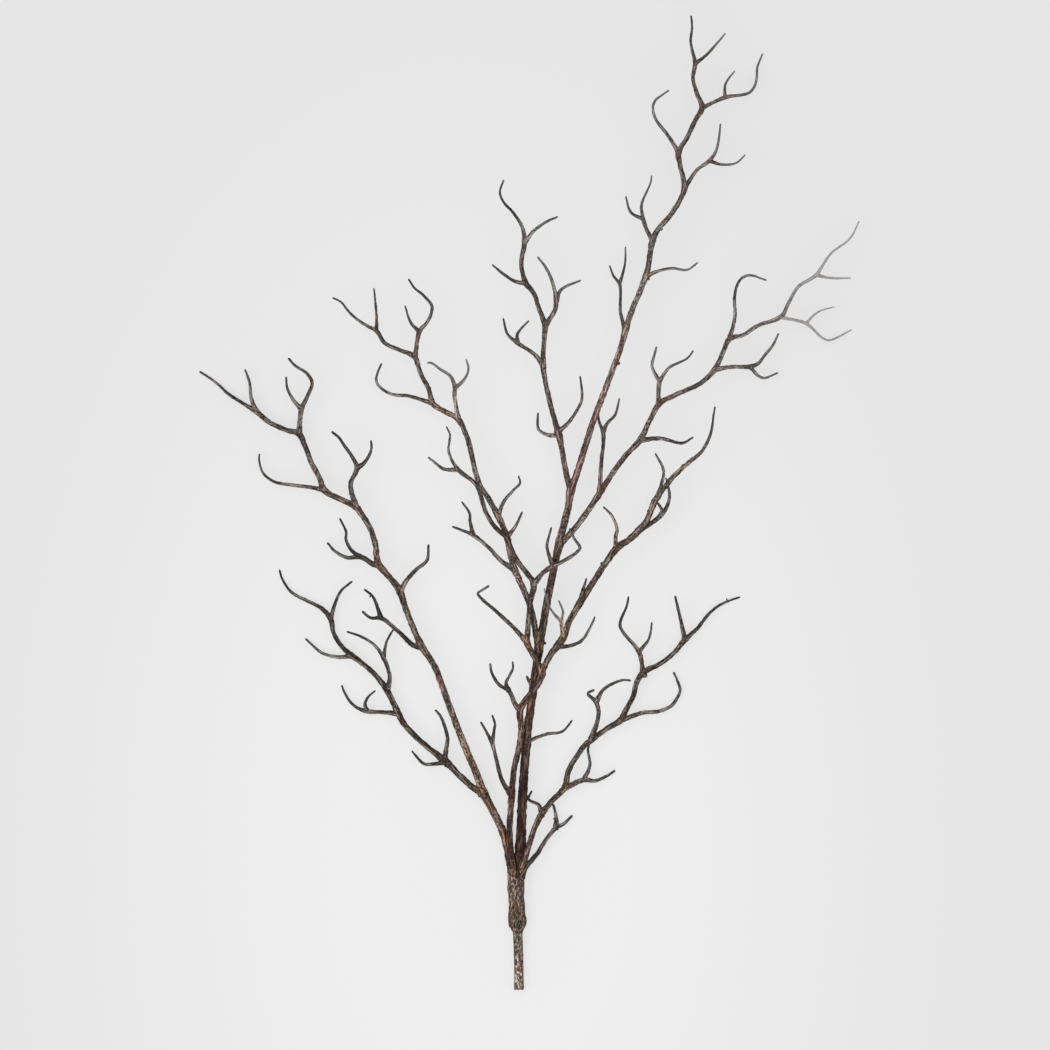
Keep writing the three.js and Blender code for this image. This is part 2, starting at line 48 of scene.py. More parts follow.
# How the bark tubes are cut up and how they swell where they fork.
tube = {
    "limbStep": 0.75,        # mm from ring to ring
    "twigStep": 0.9,
    "limbSides": 18,
    "twigSides": 12,
    "twigWidths": [3.8, 3.5, 3.1, 2.6, 1.8],
    "sideWidths": [3.1, 2.8, 2.4, 2.0, 1.6],   # a twig's own fork
    "forkSwell": 0.32,       # extra width of a limb where something grows on it
    "forkReach": 8.0,        # mm along the limb
    "footFlare": 0.45,       # extra width of a twig's foot
    "limbFlare": 0.225,      # the same for a limb that grows on another
    "footReach": 5.5,        # mm
    "stainReach": 8.8,       # mm from a foot that its stain reaches
    "tuck": 1.8,             # mm that one length reaches into the next
    "tuckWidth": 0.55,       # its width there, as a share
    "tipReach": 1.1,         # length of a rounded tip, in radii
    "tipLeast": 0.04,        # how blunt its end is
    "sprayBulk": 1.1,        # width of a spray that has no bulk of its own
    "strandOffset": 137.0,   # keeps the bark of one strand unlike the next
}

# Limbs: heights, widths and tones are spread evenly from foot to tip. A section ends at the place named.
limbs = {
    "main_limb": {
        "foot": 12.4,
        "heights": [19, 25, 31, 36, 41, 45, 47, 46, 42, 40],
        "widths": [10, 9.2, 8, 7.6, 7.2, 6.2, 5.8, 5.4, 4.8, 4.4, 1.9],
        "tones": [0.4, 0.4, 0.6, 0.6, 1.0, 1.8, 1.6, 1.4, 1.2, 1.2, 1.2],
        "route": [
            (0, 121.2), (2, 140), (3, 180), (5.3, 220), (8, 255), (12, 285), (16, 315), (20.5, 345),
            (24.5, 367), (28, 388), (33, 412), (37.5, 434), (43, 458), (49, 482), (52, 500), (58, 517),
            (66, 543), (74, 568), (83, 592), (92, 616), (101, 640), (106.5, 660), (113, 680), (122, 701),
            (129, 722), (132.5, 745), (138, 759), (151, 774), (161, 790), (165.5, 803), (161.5, 822),
            (159.5, 837), (168, 852), (177, 871), (183, 882), (178, 896), (174, 912), (176, 926),
            (172.5, 942), (171.5, 951), (173, 962), (172, 974.5),
        ],
        "sections": {
            "lower": (20.5, 345), "middle": (52, 500), "upper": (133, 751), "top": (183, 882), "tip": None,
        },
    },
    "left_limb": {
        "foot": 11.6,
        "heights": [17, 20, 22, 23, 20, 12, 1],
        "widths": [8, 7.4, 6.5, 6.1, 5.9, 5.4, 4.8, 1.9],
        "tones": [1.0, 0.8],
        "route": [
            (-8, 121.2), (-12, 143), (-17, 160), (-25, 177), (-36, 198), (-42, 215), (-54, 243),
            (-67, 277), (-79, 310), (-84, 323), (-98, 345), (-111, 375), (-121, 402), (-136, 420),
            (-141, 427), (-144, 447), (-150, 464), (-159, 478), (-163, 483), (-177, 490), (-195, 500),
            (-199, 511), (-208, 528), (-214, 544), (-220, 556), (-234, 560.5), (-250, 568), (-262, 578),
            (-275, 586), (-290, 595.5), (-304, 608), (-320, 619),
        ],
        "sections": {"lower": (-36, 198), "middle": (-138, 424), "upper": (-220, 556), "tip": None},
    },
    "inner_limb": {
        "foot": 18.2,
        "heights": [25, 32.5, 37, 38, 40, 46],
        "widths": [6.6, 6, 6, 6.2, 6.4, 5.2, 1.8],
        "tones": [0.6, 0.9, 0.8, 0.8, 1.6],
        "route": [
            (-5.6, 121.2), (-7, 130), (-9, 145), (-9.5, 160), (-8, 185), (-5, 220), (-1, 238), (1.5, 252),
            (2, 265), (1, 280), (6, 289), (14, 299), (21, 310), (24, 321), (32, 336), (44, 352),
            (50, 368), (62, 389), (75, 409), (88, 429), (98, 442), (112, 452), (119, 459), (128, 470),
            (133, 482), (136, 489), (145, 502), (156, 515), (170, 528), (183, 539), (191.5, 556),
            (194.5, 575), (196, 583.5),
        ],
        "sections": {"lower": (22.5, 316), "middle": (119, 459), "tip": None},
    },
    "left_leader": {
        "on": "main_limb",
        "heights": [29.5, 32, 35, 36, 30],
        "widths": [6.2, 6, 5.2, 5, 4.2, 1.8],
        "tones": [1.0, 1.1],
        "route": [
            (20, 340), (18, 350), (16, 361), (12, 381), (6.2, 397), (-3.4, 418), (-7.6, 430), (-12, 453),
            (-21, 474), (-29, 489), (-39, 505), (-44.5, 522), (-49, 543), (-52, 553), (-61, 571),
            (-73, 578), (-86, 586.5), (-90, 600), (-99, 618), (-104.5, 633), (-118, 639.5), (-134, 647),
            (-142.5, 659), (-156, 666.5), (-168, 676), (-178, 688), (-186.5, 692.5),
        ],
        "sections": {"lower": (-5.4, 424), "middle": (-61, 571), "top": (-104.5, 633), "tip": None},
    },
    "crossing_limb": {
        "on": "inner_limb",
        "heights": [38.5, 39.5, 43, 56],
        "widths": [5.4, 5.4, 4.8, 4.2, 1.7],
        "tones": [0.8, 0.7, 0.7, 1.5],
        "route": [
            (22.5, 316), (20, 325), (16, 332), (8, 348), (8.5, 356), (11, 385), (14.5, 407), (10, 414),
            (-2, 430), (-10, 447), (-13, 453), (-21, 459.8), (-29.2, 470.4), (-34, 480), (-41, 502),
            (-45, 508), (-61, 520.5), (-68, 532), (-70.5, 540), (-69.5, 549), (-69, 556),
            (-72.5, 563.5),
        ],
        "sections": {"lower": (14.5, 407), "upper": None},
    },
    "low_left_limb": {
        "on": "left_limb",
        "heights": [15, 12, 10, 7, 0.95],
        "widths": [6.4, 5.8, 5.4, 4.8, 4.2, 1.8],
        "tones": [0.5, 0.6],
        "route": [
            (-36, 197), (-44, 201), (-60, 215), (-74, 229), (-88, 240), (-104, 254), (-115, 266),
            (-122, 279), (-130, 296), (-137, 307), (-150, 321), (-166, 333.5), (-177, 343), (-185.5, 357),
            (-188.5, 371), (-198, 382), (-213, 389.5), (-228, 398), (-237, 411), (-239.8, 420.5),
        ],
        "sections": {"inner": (-131, 300), "outer": None},
    },
    "right_limb": {
        "foot": 17.6,
        "heights": [15, 15, 12.5, 9, 0.95],
        "widths": [5.6, 5.6, 5.2, 5.2, 4.4, 1.8],
        "tones": [1.0, 0.6, 0.6, 0.8],
        "route": [
            (2.8, 121.2), (5, 127), (10, 145), (17, 165), (23.5, 177), (33, 189), (46, 203), (49, 217),
            (56, 231), (65, 243.5), (77, 253.5), (89, 262), (102, 270), (107, 280), (114, 293),
            (118, 308), (125, 318), (139, 325), (154, 336), (166, 350), (178, 361), (190, 376),
            (203, 386), (221.5, 393),
        ],
        "sections": {"lower": (46, 203), "middle": (101, 269.5), "outer": None},
    },
    "upper_right_limb": {
        "on": "main_limb",
        "heights": [39, 38, 33, 30, 40],
        "widths": [6, 5.4, 4.8, 4.3, 3.3, 1.4],
        "tones": [1.1, 1.0, 1.0, 1.0, 1.0, 2.0, 3.3, 3.5],
        "route": [
            (40.5, 446), (49, 454), (60, 467), (73, 485), (82, 499), (95, 519), (108, 536), (121, 550),
            (130, 568), (141, 587), (152, 593), (170, 601), (182, 607), (196, 621), (204, 638),
            (210.5, 651), (224, 655), (239, 664.5), (262, 673.5), (270, 688), (279, 703), (297, 715),
            (307, 730), (313, 737.5), (329, 749.5), (334, 756), (340, 769),
        ],
        "sections": {"lower": (141, 587), "outer": (262, 673.5), "tip": None},
    },
    "centre_limb": {
        "on": "main_limb",
        "heights": [42, 48, 54, 66],
        "widths": [5.8, 5, 4.8, 4.3, 1.8],
        "tones": [0.8, 1.0, 0.9],
        "route": [
            (52, 500), (48, 513), (43.5, 537), (40, 555), (35, 572), (29.5, 594), (25, 616), (24, 630),
            (25.5, 654), (26, 664), (20.5, 680), (14.5, 697), (7, 706.5), (3, 720), (2.5, 730),
            (5.5, 747), (3.5, 762), (-5, 776), (-16, 788.5), (-19, 798), (-15, 810),
        ],
        "sections": {"lower": (26, 664), "top": None},
    },
}

# Single twigs, under the limb length that they grow on and are part of.
shoots = {
    "main_limb_lower": [
        {"tip": 34, "front": 2.2, "route": [
            (6.2, 246.8), (12, 250), (28, 256), (43, 258.5), (53.5, 270),
        ]},
        {"tip": 29, "route": [(14.5, 304), (9.5, 310), (7.5, 314.5)]},
    ],
    "main_limb_upper": [
        {"tip": 60, "bulk": 0.88, "route": [
            (126.5, 713), (138, 718.5), (153, 721.5), (168, 720), (179, 727.5),
        ]},
    ],
    "main_limb_top": [
        {"tip": 62, "route": [(159.5, 837), (150, 853), (135.5, 873), (135, 887), (150, 899.5)]},
    ],
    "main_limb_tip": [
        {"tip": 52, "bulk": 0.85, "route": [(176, 926), (187, 934.5), (206.5, 956.5)]},
    ],
    "left_limb_middle": [
        {"tip": 38, "bulk": 1.22, "route": [
            (-119, 398), (-113, 409), (-102, 421), (-92, 430), (-90.5, 446),
        ]},
    ],
    "left_limb_upper": [
        {"tip": 9, "route": [
            (-195, 500), (-207, 502.5), (-226, 505), (-244, 508), (-256, 517), (-260, 530),
            (-259.8, 536.5),
        ]},
    ],
    "left_limb_tip": [
        {"tip": 14, "route": [(-262, 578), (-267.5, 590), (-270, 609), (-274.5, 621)]},
    ],
    "inner_limb_middle": [
        {"tip": 22, "route": [(38, 343.5), (50, 344), (62, 349), (71, 362), (76, 373.5)]},
        {"tip": 46, "route": [(62, 389), (63, 396), (67.5, 412)]},
        {"tip": 54, "route": [(97, 441), (96.5, 453), (98, 460), (93, 474), (84, 483.5)]},
    ],
    "inner_limb_tip": [
        {"tip": 53, "route": [(136, 489), (141.5, 503), (144.5, 519), (136, 537)]},
    ],
    "left_leader_middle": [
        {"tip": 36, "route": [(-12, 453), (-4, 463), (3.5, 478.5)]},
        {"tip": 46, "route": [(-21, 474), (-16, 487), (-6, 499.5), (1, 507), (-0.5, 514.5)]},
    ],
    "left_leader_top": [
        {"tip": 12, "route": [
            (-86, 586.5), (-110, 594), (-128, 596), (-140, 604), (-143, 611), (-137.5, 627),
        ]},
    ],
    "left_leader_tip": [
        {"tip": 46, "bulk": 0.82, "route": [(-142.5, 659), (-142.5, 674), (-145, 702)]},
    ],
    "crossing_limb_lower": [
        {"tip": 54, "bulk": 1.18, "route": [
            (8, 348), (-4, 361), (-22, 378), (-37, 391), (-41, 396.5), (-36, 400.5), (-29.5, 404.5),
        ]},
    ],
    "crossing_limb_upper": [
        {"tip": 40, "route": [(-61, 520.5), (-75, 521), (-86, 529), (-91, 533)]},
    ],
    "low_left_limb_inner": [
        {"tip": 32, "bulk": 1.2, "route": [
            (-74.5, 229.5), (-73, 241), (-71.5, 252), (-78, 273), (-84, 280.5),
        ]},
        {"tip": 6, "route": [(-73, 228), (-84, 226), (-95, 226), (-104, 235), (-107.5, 239)]},
    ],
    "low_left_limb_outer": [
        {"tip": 3, "route": [(-166.5, 334), (-182, 333), (-197, 337), (-209, 347), (-214, 351.5)]},
        {"tip": 22, "route": [(-188.5, 371), (-184.5, 385), (-178, 399), (-166.5, 409)]},
    ],
    "right_limb_lower": [
        {"tip": 27, "route": [(23, 176.5), (19.5, 185), (9.5, 191), (13, 199.5)]},
    ],
    "right_limb_outer": [
        {"tip": 5, "bulk": 1.2, "route": [
            (102, 270), (124, 277), (140, 278.6), (152.4, 284.2), (159.3, 293.6), (161.3, 300),
            (159, 308), (154.5, 318),
        ]},
        {"tip": 24, "bulk": 1.12, "route": [(166, 350), (161, 373), (156, 394.5)]},
    ],
    "upper_right_limb_lower": [
        {"tip": 26, "bulk": 1.15, "route": [(121, 550), (142, 551.5), (163, 547), (174.5, 553)]},
    ],
    "upper_right_limb_outer": [
        {"tip": 54, "route": [
            (210.5, 651), (216, 674), (215.5, 694), (221, 710), (230, 714.5), (247.5, 709.5),
        ]},
    ],
    "upper_right_limb_tip": [
        {"tip": 20, "bulk": 0.75, "tones": [3.4, 3.4], "route": [(297, 715), (312, 712), (332, 712)]},
    ],
    "centre_limb_lower": [
        {"tip": 32, "route": [(40, 555), (29, 555), (20, 560), (18.7, 566), (19, 577.5)]},
        {"tip": 60, "route": [(39.5, 558), (50, 568), (62, 588), (63, 596), (61, 614)]},
    ],
    "centre_limb_top": [
        {"tip": 42, "route": [(7, 706.5), (-5, 709), (-17, 717), (-27, 725.5)]},
        {"tip": 78, "route": [(5.5, 747), (14, 758), (27, 767.5), (39, 773)]},
    ],
}

# Twigs that fork once.
sprays = {
    "main_spray_1": {
        "on": "main_limb", "tip": 24, "forkTip": 30, "bulk": 0.95,
        "route": [(106, 659), (101.5, 678), (100.5, 706), (94.5, 714), (90.5, 725)],
        "fork": [(100.5, 706), (106, 726), (106.5, 743.5)],
    },
    "main_spray_2": {
        "on": "main_limb", "tip": 66, "forkTip": 70, "bulk": 1.0,
        "route": [(133, 750), (126, 764), (124, 770), (112, 777), (106.5, 793.5)],
        "fork": [(124, 770), (122.5, 785), (131.5, 807), (132.5, 814.5)],
    },
    "main_spray_3": {
        "on": "main_limb", "tip": 28, "forkTip": 22, "bulk": 1.0,
        "route": [(165.5, 802), (178, 820), (190, 829), (197, 839), (199.6, 849.5), (201.5, 866.5)],
        "fork": [(190, 829), (203, 825.5), (217, 827), (226.5, 835.5)],
    },
    "main_spray_4": {
        "on": "main_limb", "tip": 0.9, "forkTip": 26, "bulk": 0.95,
        "route": [(183, 882), (206, 892.5), (231, 898), (237.2, 908.6), (238.6, 923), (244, 937)],
        "fork": [(206, 892.5), (206.5, 906), (216, 919.5)],
    },
    "left_spray_1": {
        "on": "left_limb", "tip": 36, "forkTip": 24, "bulk": 1.3, "tones": [0.6, 0.4],
        "route": [(-97, 343), (-106, 345), (-119, 357), (-138, 372), (-148, 372), (-157, 379)],
        "fork": [(-138, 372), (-140, 378), (-146, 393), (-155, 401)],
    },
    "left_spray_2": {
        "on": "left_limb", "tip": 10, "forkTip": 24, "bulk": 1.25, "tones": [0.6, 0.5],
        "route": [(-138, 424), (-146, 426), (-158, 433), (-172, 432.5), (-183, 438), (-192, 447.5)],
        "fork": [(-158, 433), (-166, 438), (-173, 450), (-173, 458), (-179.5, 472)],
    },
    "left_spray_3": {
        "on": "left_limb", "tip": 46, "forkTip": 42, "bulk": 1.32,
        "route": [
            (-163, 483), (-168, 500), (-168, 508), (-162, 522), (-168, 535), (-175, 545), (-180.6, 553),
            (-187.5, 558.5),
        ],
        "fork": [(-162, 522), (-154, 528), (-147.5, 541), (-148, 550)],
    },
    "left_spray_4": {
        "on": "left_limb", "tip": 40, "forkTip": 34, "bulk": 1.25,
        "route": [
            (-220, 556), (-219.5, 566), (-217.5, 581), (-212, 593), (-207, 607), (-212, 616.5),
            (-224, 624.5), (-230.8, 632),
        ],
        "fork": [(-217.5, 581), (-225, 589), (-231.5, 601), (-233, 613.5)],
    },
    "low_left_spray_1": {
        "on": "low_left_limb", "tip": 3, "forkTip": 16,
        "route": [(-121, 276.5), (-134, 277.5), (-156, 279.5), (-167, 286), (-175, 298), (-177.5, 305)],
        "fork": [(-152, 279.2), (-154, 286), (-151, 293), (-143.5, 299.5)],
    },
    "low_left_spray_2": {
        "on": "low_left_limb", "tip": 26, "forkTip": 13,
        "route": [
            (-131.5, 301), (-129.5, 314), (-135.5, 332), (-145.2, 345.4), (-159, 353.8), (-172.5, 358.5),
        ],
        "fork": [(-135.5, 332), (-132.5, 348), (-125.5, 361)],
    },
    "inner_spray_1": {
        "on": "inner_limb", "tip": 42, "forkTip": 50, "bulk": 1.2,
        "route": [(-8, 195), (-17, 210), (-22.5, 230), (-27, 247), (-33, 259), (-38.5, 268.5)],
        "fork": [(-27, 247), (-24.5, 262), (-24, 266), (-27, 275.5)],
    },
    "inner_spray_2": {
        "on": "inner_limb", "tip": 44, "forkTip": 54, "bulk": 1.2,
        "route": [(1, 280), (-4, 286), (-10, 299), (-20, 305.5), (-27.5, 318), (-28.8, 327)],
        "fork": [(-10, 299), (-13, 307), (-10, 313.5), (-6, 322), (-6.5, 329)],
    },
    "inner_spray_3": {
        "on": "inner_limb", "tip": 56, "forkTip": 50, "bulk": 0.85, "tones": [1.9, 2.3],
        "route": [(44, 352), (42.5, 368), (44, 378), (39.5, 390)],
        "fork": [(42.5, 368), (31, 382), (25, 402)],
    },
    "inner_spray_4": {
        "on": "inner_limb", "tip": 24, "forkTip": 26, "bulk": 1.2,
        "route": [(119, 459), (134, 468), (146, 480), (150.5, 494), (147, 512.5)],
        "fork": [(142, 475), (143, 480), (137.5, 488.5)],
    },
    "crossing_spray": {
        "on": "crossing_limb", "tip": 52, "forkTip": 60, "bulk": 1.25,
        "route": [
            (14, 405), (24, 417), (34, 424), (48, 431), (58, 438), (61, 442), (55, 452), (50.5, 462),
        ],
        "fork": [(34, 424), (29, 438), (28, 445), (32.5, 463)],
    },
    "leader_spray_1": {
        "on": "left_leader", "tip": 14, "forkTip": 26, "bulk": 1.2,
        "route": [(-4.3, 420), (-17, 428.5), (-31, 443), (-46, 455), (-60, 461), (-67, 463.5)],
        "fork": [(-46, 455), (-49, 469), (-49.5, 477), (-57.5, 488.5)],
    },
    "leader_spray_2": {
        "on": "left_leader", "tip": 58, "forkTip": 62, "tones": [1.8, 2.4],
        "route": [(-60.5, 570), (-64.5, 595), (-64, 602), (-68, 613), (-79, 621), (-88, 627), (-92, 627)],
        "fork": [(-64, 602), (-55, 610), (-50.5, 621), (-53, 631)],
    },
    "leader_spray_3": {
        "on": "left_leader", "tip": 62, "forkTip": 52,
        "route": [
            (-104, 632), (-99.5, 658), (-91, 669), (-86.8, 683), (-95, 694), (-104.4, 701.8),
            (-110.5, 711),
        ],
        "fork": [(-99.5, 658), (-108, 667), (-114, 684.5)],
    },
    "low_right_twig": {
        "on": "collar", "foot": 18.5, "girth": 3.0, "tip": 4, "forkTip": 6, "bulk": 1.4,
        "route": [(2.2, 112), (6, 121.5), (18, 136), (27, 150), (37, 162), (45, 166), (53.5, 174.5)],
        "fork": [(37, 162), (37, 174), (34, 186)],
    },
    "right_spray_1": {
        "on": "right_limb", "tip": 8, "forkTip": 5, "bulk": 1.25,
        "route": [(46, 202), (65, 210), (76, 209), (88, 214), (96.5, 219.5)],
        "fork": [(65, 210), (71, 225), (69, 240), (70.5, 246)],
    },
    "right_spray_2": {
        "on": "right_limb", "tip": 40, "forkTip": 34, "bulk": 1.32,
        "route": [(72, 249.5), (79.5, 275), (77, 288), (69, 296.5), (75.5, 300.5)],
        "fork": [(77, 288), (85, 301), (103, 309.8), (112, 309.5)],
    },
    "right_spray_3": {
        "on": "right_limb", "tip": 38, "forkTip": 30,
        "route": [(124.5, 317), (120, 338), (104, 358), (101, 366), (108, 385), (109.5, 394)],
        "fork": [(120, 338), (130, 351.5), (133, 368)],
    },
    "upper_right_spray_1": {
        "on": "upper_right_limb", "tip": 31, "forkTip": 40, "bulk": 1.2,
        "route": [(81, 498), (82, 525), (84.5, 550), (84, 558), (80, 569), (78, 581)],
        "fork": [(84, 558), (88.5, 567), (96, 575), (100.5, 592)],
    },
    "upper_right_spray_2": {
        "on": "upper_right_limb", "tip": 60, "forkTip": 54,
        "route": [(139.5, 585), (139.5, 602), (140, 608), (135, 618), (133, 624), (137.5, 643.5)],
        "fork": [(140, 608), (150, 622), (168, 631.5), (174.5, 639.5)],
    },
    "upper_right_spray_3": {
        "on": "upper_right_limb", "tip": 16, "forkTip": 8, "tones": [1.6, 2.2],
        "route": [
            (196, 620.5), (211, 623), (231, 623.5), (239.4, 626.6), (245.4, 634.2), (254.6, 646),
            (259.8, 657),
        ],
        "fork": [(231, 623.5), (239, 614.5), (245, 612), (259.5, 617.5)],
    },
    "upper_right_spray_4": {
        "on": "upper_right_limb", "tip": 0.9, "forkTip": 16, "bulk": 0.78, "tones": [3.4, 3.4],
        "route": [(261, 673), (287, 666.5), (304, 652), (311, 650), (333, 660.5)],
        "fork": [(287, 666.5), (299, 678), (316, 683.5)],
    },
    "centre_spray_1": {
        "on": "centre_limb", "tip": 34, "forkTip": 54,
        "route": [(24, 625), (15, 636), (-1.5, 647), (-11.5, 656), (-15.8, 672)],
        "fork": [(-1.5, 647), (-1.5, 656), (10, 669.5)],
    },
    "centre_spray_2": {
        "on": "centre_limb", "tip": 76, "forkTip": 62, "bulk": 1.2,
        "route": [(26, 664), (36, 680), (37, 688), (34.5, 704), (28, 720), (18.5, 733)],
        "fork": [(37, 688), (42, 700), (62, 709.5)],
    },
}

shootCount = sum(len(twigs) for twigs in shoots.values())
print("routes:", len(limbs), "limbs,", shootCount, "shoots,", len(sprays), "sprays")


def spread(values, share):
    return np.interp(share, np.linspace(0, 1, len(values)), values)


# Centripetal curve through the points, as a dense line.
def smooth(points, perSpan=24):
    ends = np.vstack([2 * points[0] - points[1], points, 2 * points[-1] - points[-2]])
    t = np.linspace(0, 1, perSpan, endpoint=False)[:, None]
    spans = []
    for i in range(len(points) - 1):
        p0, p1, p2, p3 = ends[i:i + 4]
        d0, d1, d2 = np.sqrt(np.linalg.norm(np.diff(ends[i:i + 4], axis=0), axis=1))
        m1 = ((p1 - p0) / d0 - (p2 - p0) / (d0 + d1) + (p2 - p1) / d1) * d1
        m2 = ((p2 - p1) / d1 - (p3 - p1) / (d1 + d2) + (p3 - p2) / d2) * d1
        a = 2 * p1 - 2 * p2 + m1 + m2
        b = -3 * p1 + 3 * p2 - 2 * m1 - m2
        spans.append(((a * t + b) * t + m1) * t + p1)
    return np.vstack(spans + [points[-1:]])


def curveOf(route):
    return smooth(np.array(route, float))


def walked(points):
    return np.concatenate([[0], np.cumsum(np.linalg.norm(np.diff(points, axis=0), axis=1))])


# A line with even steps, and the distance walked to each of its points.
def evenSteps(points, step):
    far = walked(points)
    steps = max(2, int(round(far[-1] / step)))
    walk = np.linspace(0, far[-1], steps + 1)
    return np.column_stack([np.interp(walk, far, points[:, k]) for k in range(3)]), walk


def lift(route, heights):
    flat = np.array(route, float)
    far = walked(flat)
    return smooth(np.column_stack([flat, spread(heights, far / far[-1])]))


def nearest(points, spot):
    return int(np.argmin(np.hypot(points[:, 0] - spot[0], points[:, 1] - spot[1])))


# Twigs are dark low on the left and pale towards the top right, unless they have tones of their own; the
# extra paling of tips towards the right is painted light from the right.
# A tone of 1 is plain bark, and from 1.9 up it turns pale grey.
twigTone = {
    "heights": [110, 350, 500, 900],      # mm along the branch
    "feet": [0.7, 0.75, 1.0, 1.6],
    "paling": [0.3, 0.7, 0.9, 0.8],       # how much paler a tip is than its foot
    "across": [-150, 60],                 # mm: left of this a tip stays as dark as its foot
}


def tonesOf(twig):
    x, y = twig["route"][0]
    foot = np.interp(y, twigTone["heights"], twigTone["feet"])
    paling = np.interp(y, twigTone["heights"], twigTone["paling"])
    # Painted light: a tip pales more the further right its twig starts.
    tip = foot + paling * np.interp(x, twigTone["across"], [0, 1])
    return twig.get("tones", [foot, tip])


# Places with golden and with red bark, places with painted shade where the feet of the limbs crowd together
# above the collar, and how far each reaches.
goldSpots = [
    ((8, 348), 16), ((-36, 198), 16), ((-138, 424), 13), ((-215, 600), 18), ((-226, 505), 26),
    ((6.5, 119), 5), ((8, 270), 20), ((-30, 187), 14), ((46, 205), 14), ((108, 282), 12),
    ((164, 522), 16), ((43, 366), 20), ((97, 448), 14), ((-50, 235), 14), ((-7, 82), 7),
    ((122, 330), 14), ((-119, 356), 12), ((-75, 579), 12), ((-105, 592), 14), ((-101, 650), 10),
    ((-143, 676), 14), ((-17, 798), 12), ((178, 820), 9), ((-306, 609), 8), ((131, 715), 7),
]
redSpots = [
    ((-12, 453), 16), ((183, 880), 16), ((84, 505), 12), ((-163, 483), 12), ((62, 530), 30),
    ((80, 585), 34), ((100, 640), 22), ((-188, 370), 9), ((-80, 310), 14), ((34, 422), 16),
    ((22, 318), 14), ((166, 802), 12), ((160, 838), 10), ((72, 405), 14), ((52, 500), 16),
    ((141, 588), 12), ((2, 150), 30), ((5, 195), 30), ((8, 230), 24), ((-115, 269), 7),
    ((-20, 225), 22), ((36.5, 692), 8), ((-60, 603), 9), ((12, 290), 26), ((190, 829), 7),
    ((-135, 333), 6), ((206, 892), 7), ((-207, 612), 6),
]
footShadeSpots = [
    ((-11, 154), 8), ((-7, 138), 9), ((-5, 124), 8), ((-4.7, 114), 4), ((0, 142), 8), ((2, 165), 10),
    ((4, 200), 12),
]


def spotsAt(spots, points):
    amount = np.zeros(len(points))
    for spot, reach in spots:
        away = np.hypot(points[:, 0] - spot[0], points[:, 1] - spot[1])
        amount = np.maximum(amount, np.exp(-(away / reach) ** 2))
    return amount


strandCount = 0


# A stretch of branch: its line, half width, place along the bark and fork stain at every step.
def makeStrand(line, widths, step, footFlare=0.0, parentRadius=0.0, tones=(1.0, 1.0)):
    global strandCount
    strandCount += 1
    points, walk = evenSteps(line, step)
    radius = spread(widths, walk / walk[-1]) / 2
    stain = np.zeros(len(walk))
    if footFlare:
        outside = np.maximum(walk - parentRadius, 0)
        radius *= 1 + footFlare * np.exp(-outside / tube["footReach"])
        stain = np.exp(-(outside / tube["stainReach"]) ** 2)
    return {
        "points": points, "walk": walk, "radius": radius, "stain": stain,
        "along": walk + strandCount * tube["strandOffset"], "cut": np.zeros(len(walk)),
        "deep": spotsAt(footShadeSpots, points), "tone": spread(tones, walk / walk[-1]),
        "gold": spotsAt(goldSpots, points), "red": spotsAt(redSpots, points),
    }


# Swells a strand where a child of that width grows on it.
def swellAt(strand, spot, childWidth):
    at = nearest(strand["points"], spot)
    hump = np.exp(-((strand["walk"] - strand["walk"][at]) / tube["forkReach"]) ** 2)
    ratio = min(1, childWidth / (2 * strand["radius"][at]))
    strand["radius"] = strand["radius"] * (1 + tube["forkSwell"] * ratio * hump)
    strand["stain"] = np.maximum(strand["stain"], ratio * hump)


# The far end narrows to a blunt bud.
def roundTip(strand):
    left = strand["walk"][-1] - strand["walk"]
    over = (1 - left / (tube["tipReach"] * strand["radius"][-1])).clip(0)
    strand["radius"] = strand["radius"] * np.sqrt(np.clip(1 - over ** 2, tube["tipLeast"], 1))


# Part of a strand. An end that meets the next length reaches into it and narrows there.
def cutStrand(strand, start, end, tuckStart, tuckEnd):
    walk = strand["walk"]
    low = start - tube["tuck"] if tuckStart else start
    high = end + tube["tuck"] if tuckEnd else end
    keep = (walk >= low - 1e-6) & (walk <= high + 1e-6)
    part = {key: value[keep].copy() for key, value in strand.items()}
    over = np.maximum(start - part["walk"], part["walk"] - end).clip(0) / tube["tuck"]
    part["radius"] *= 1 - (1 - tube["tuckWidth"]) * over
    return part


# A twig from its route and the heights of its foot and tip, with a flared foot.
def twigStrand(route, heights, widths, bulk, girth, tones):
    scaled = [width * bulk for width in widths]
    return makeStrand(lift(route, heights), scaled, tube["twigStep"], tube["footFlare"], girth, tones)


# Every limb as one strand, then the twigs, so that each fork swells both of its sides.
strands = {}
for name, limb in limbs.items():
    foot, flare, girth = limb.get("foot"), 0, 0
    if "on" in limb:
        points = strands[limb["on"]]["points"]
        foot = points[nearest(points, limb["route"][0])][2]
        flare, girth = tube["limbFlare"], limb["widths"][0] / 2
    line = lift(limb["route"], [foot] + limb["heights"])
    strands[name] = makeStrand(line, limb["widths"], tube["limbStep"], flare, girth, limb["tones"])

for limb in limbs.values():
    if "on" in limb:
        swellAt(strands[limb["on"]], limb["route"][0], limb["widths"][0])

shootStrands = {}
for node, twigs in shoots.items():
    parent = strands[node.rpartition("_")[0]]
    shootStrands[node] = []
    for shoot in twigs:
        bulk = shoot.get("bulk", 1)
        at = nearest(parent["points"], shoot["route"][0])
        foot = parent["points"][at][2] + shoot.get("front", 0)
        strand = twigStrand(shoot["route"], [foot, shoot["tip"]], tube["twigWidths"], bulk,
                            parent["radius"][at], tonesOf(shoot))
        roundTip(strand)
        shootStrands[node].append(strand)
        swellAt(parent, shoot["route"][0], bulk * tube["twigWidths"][0])

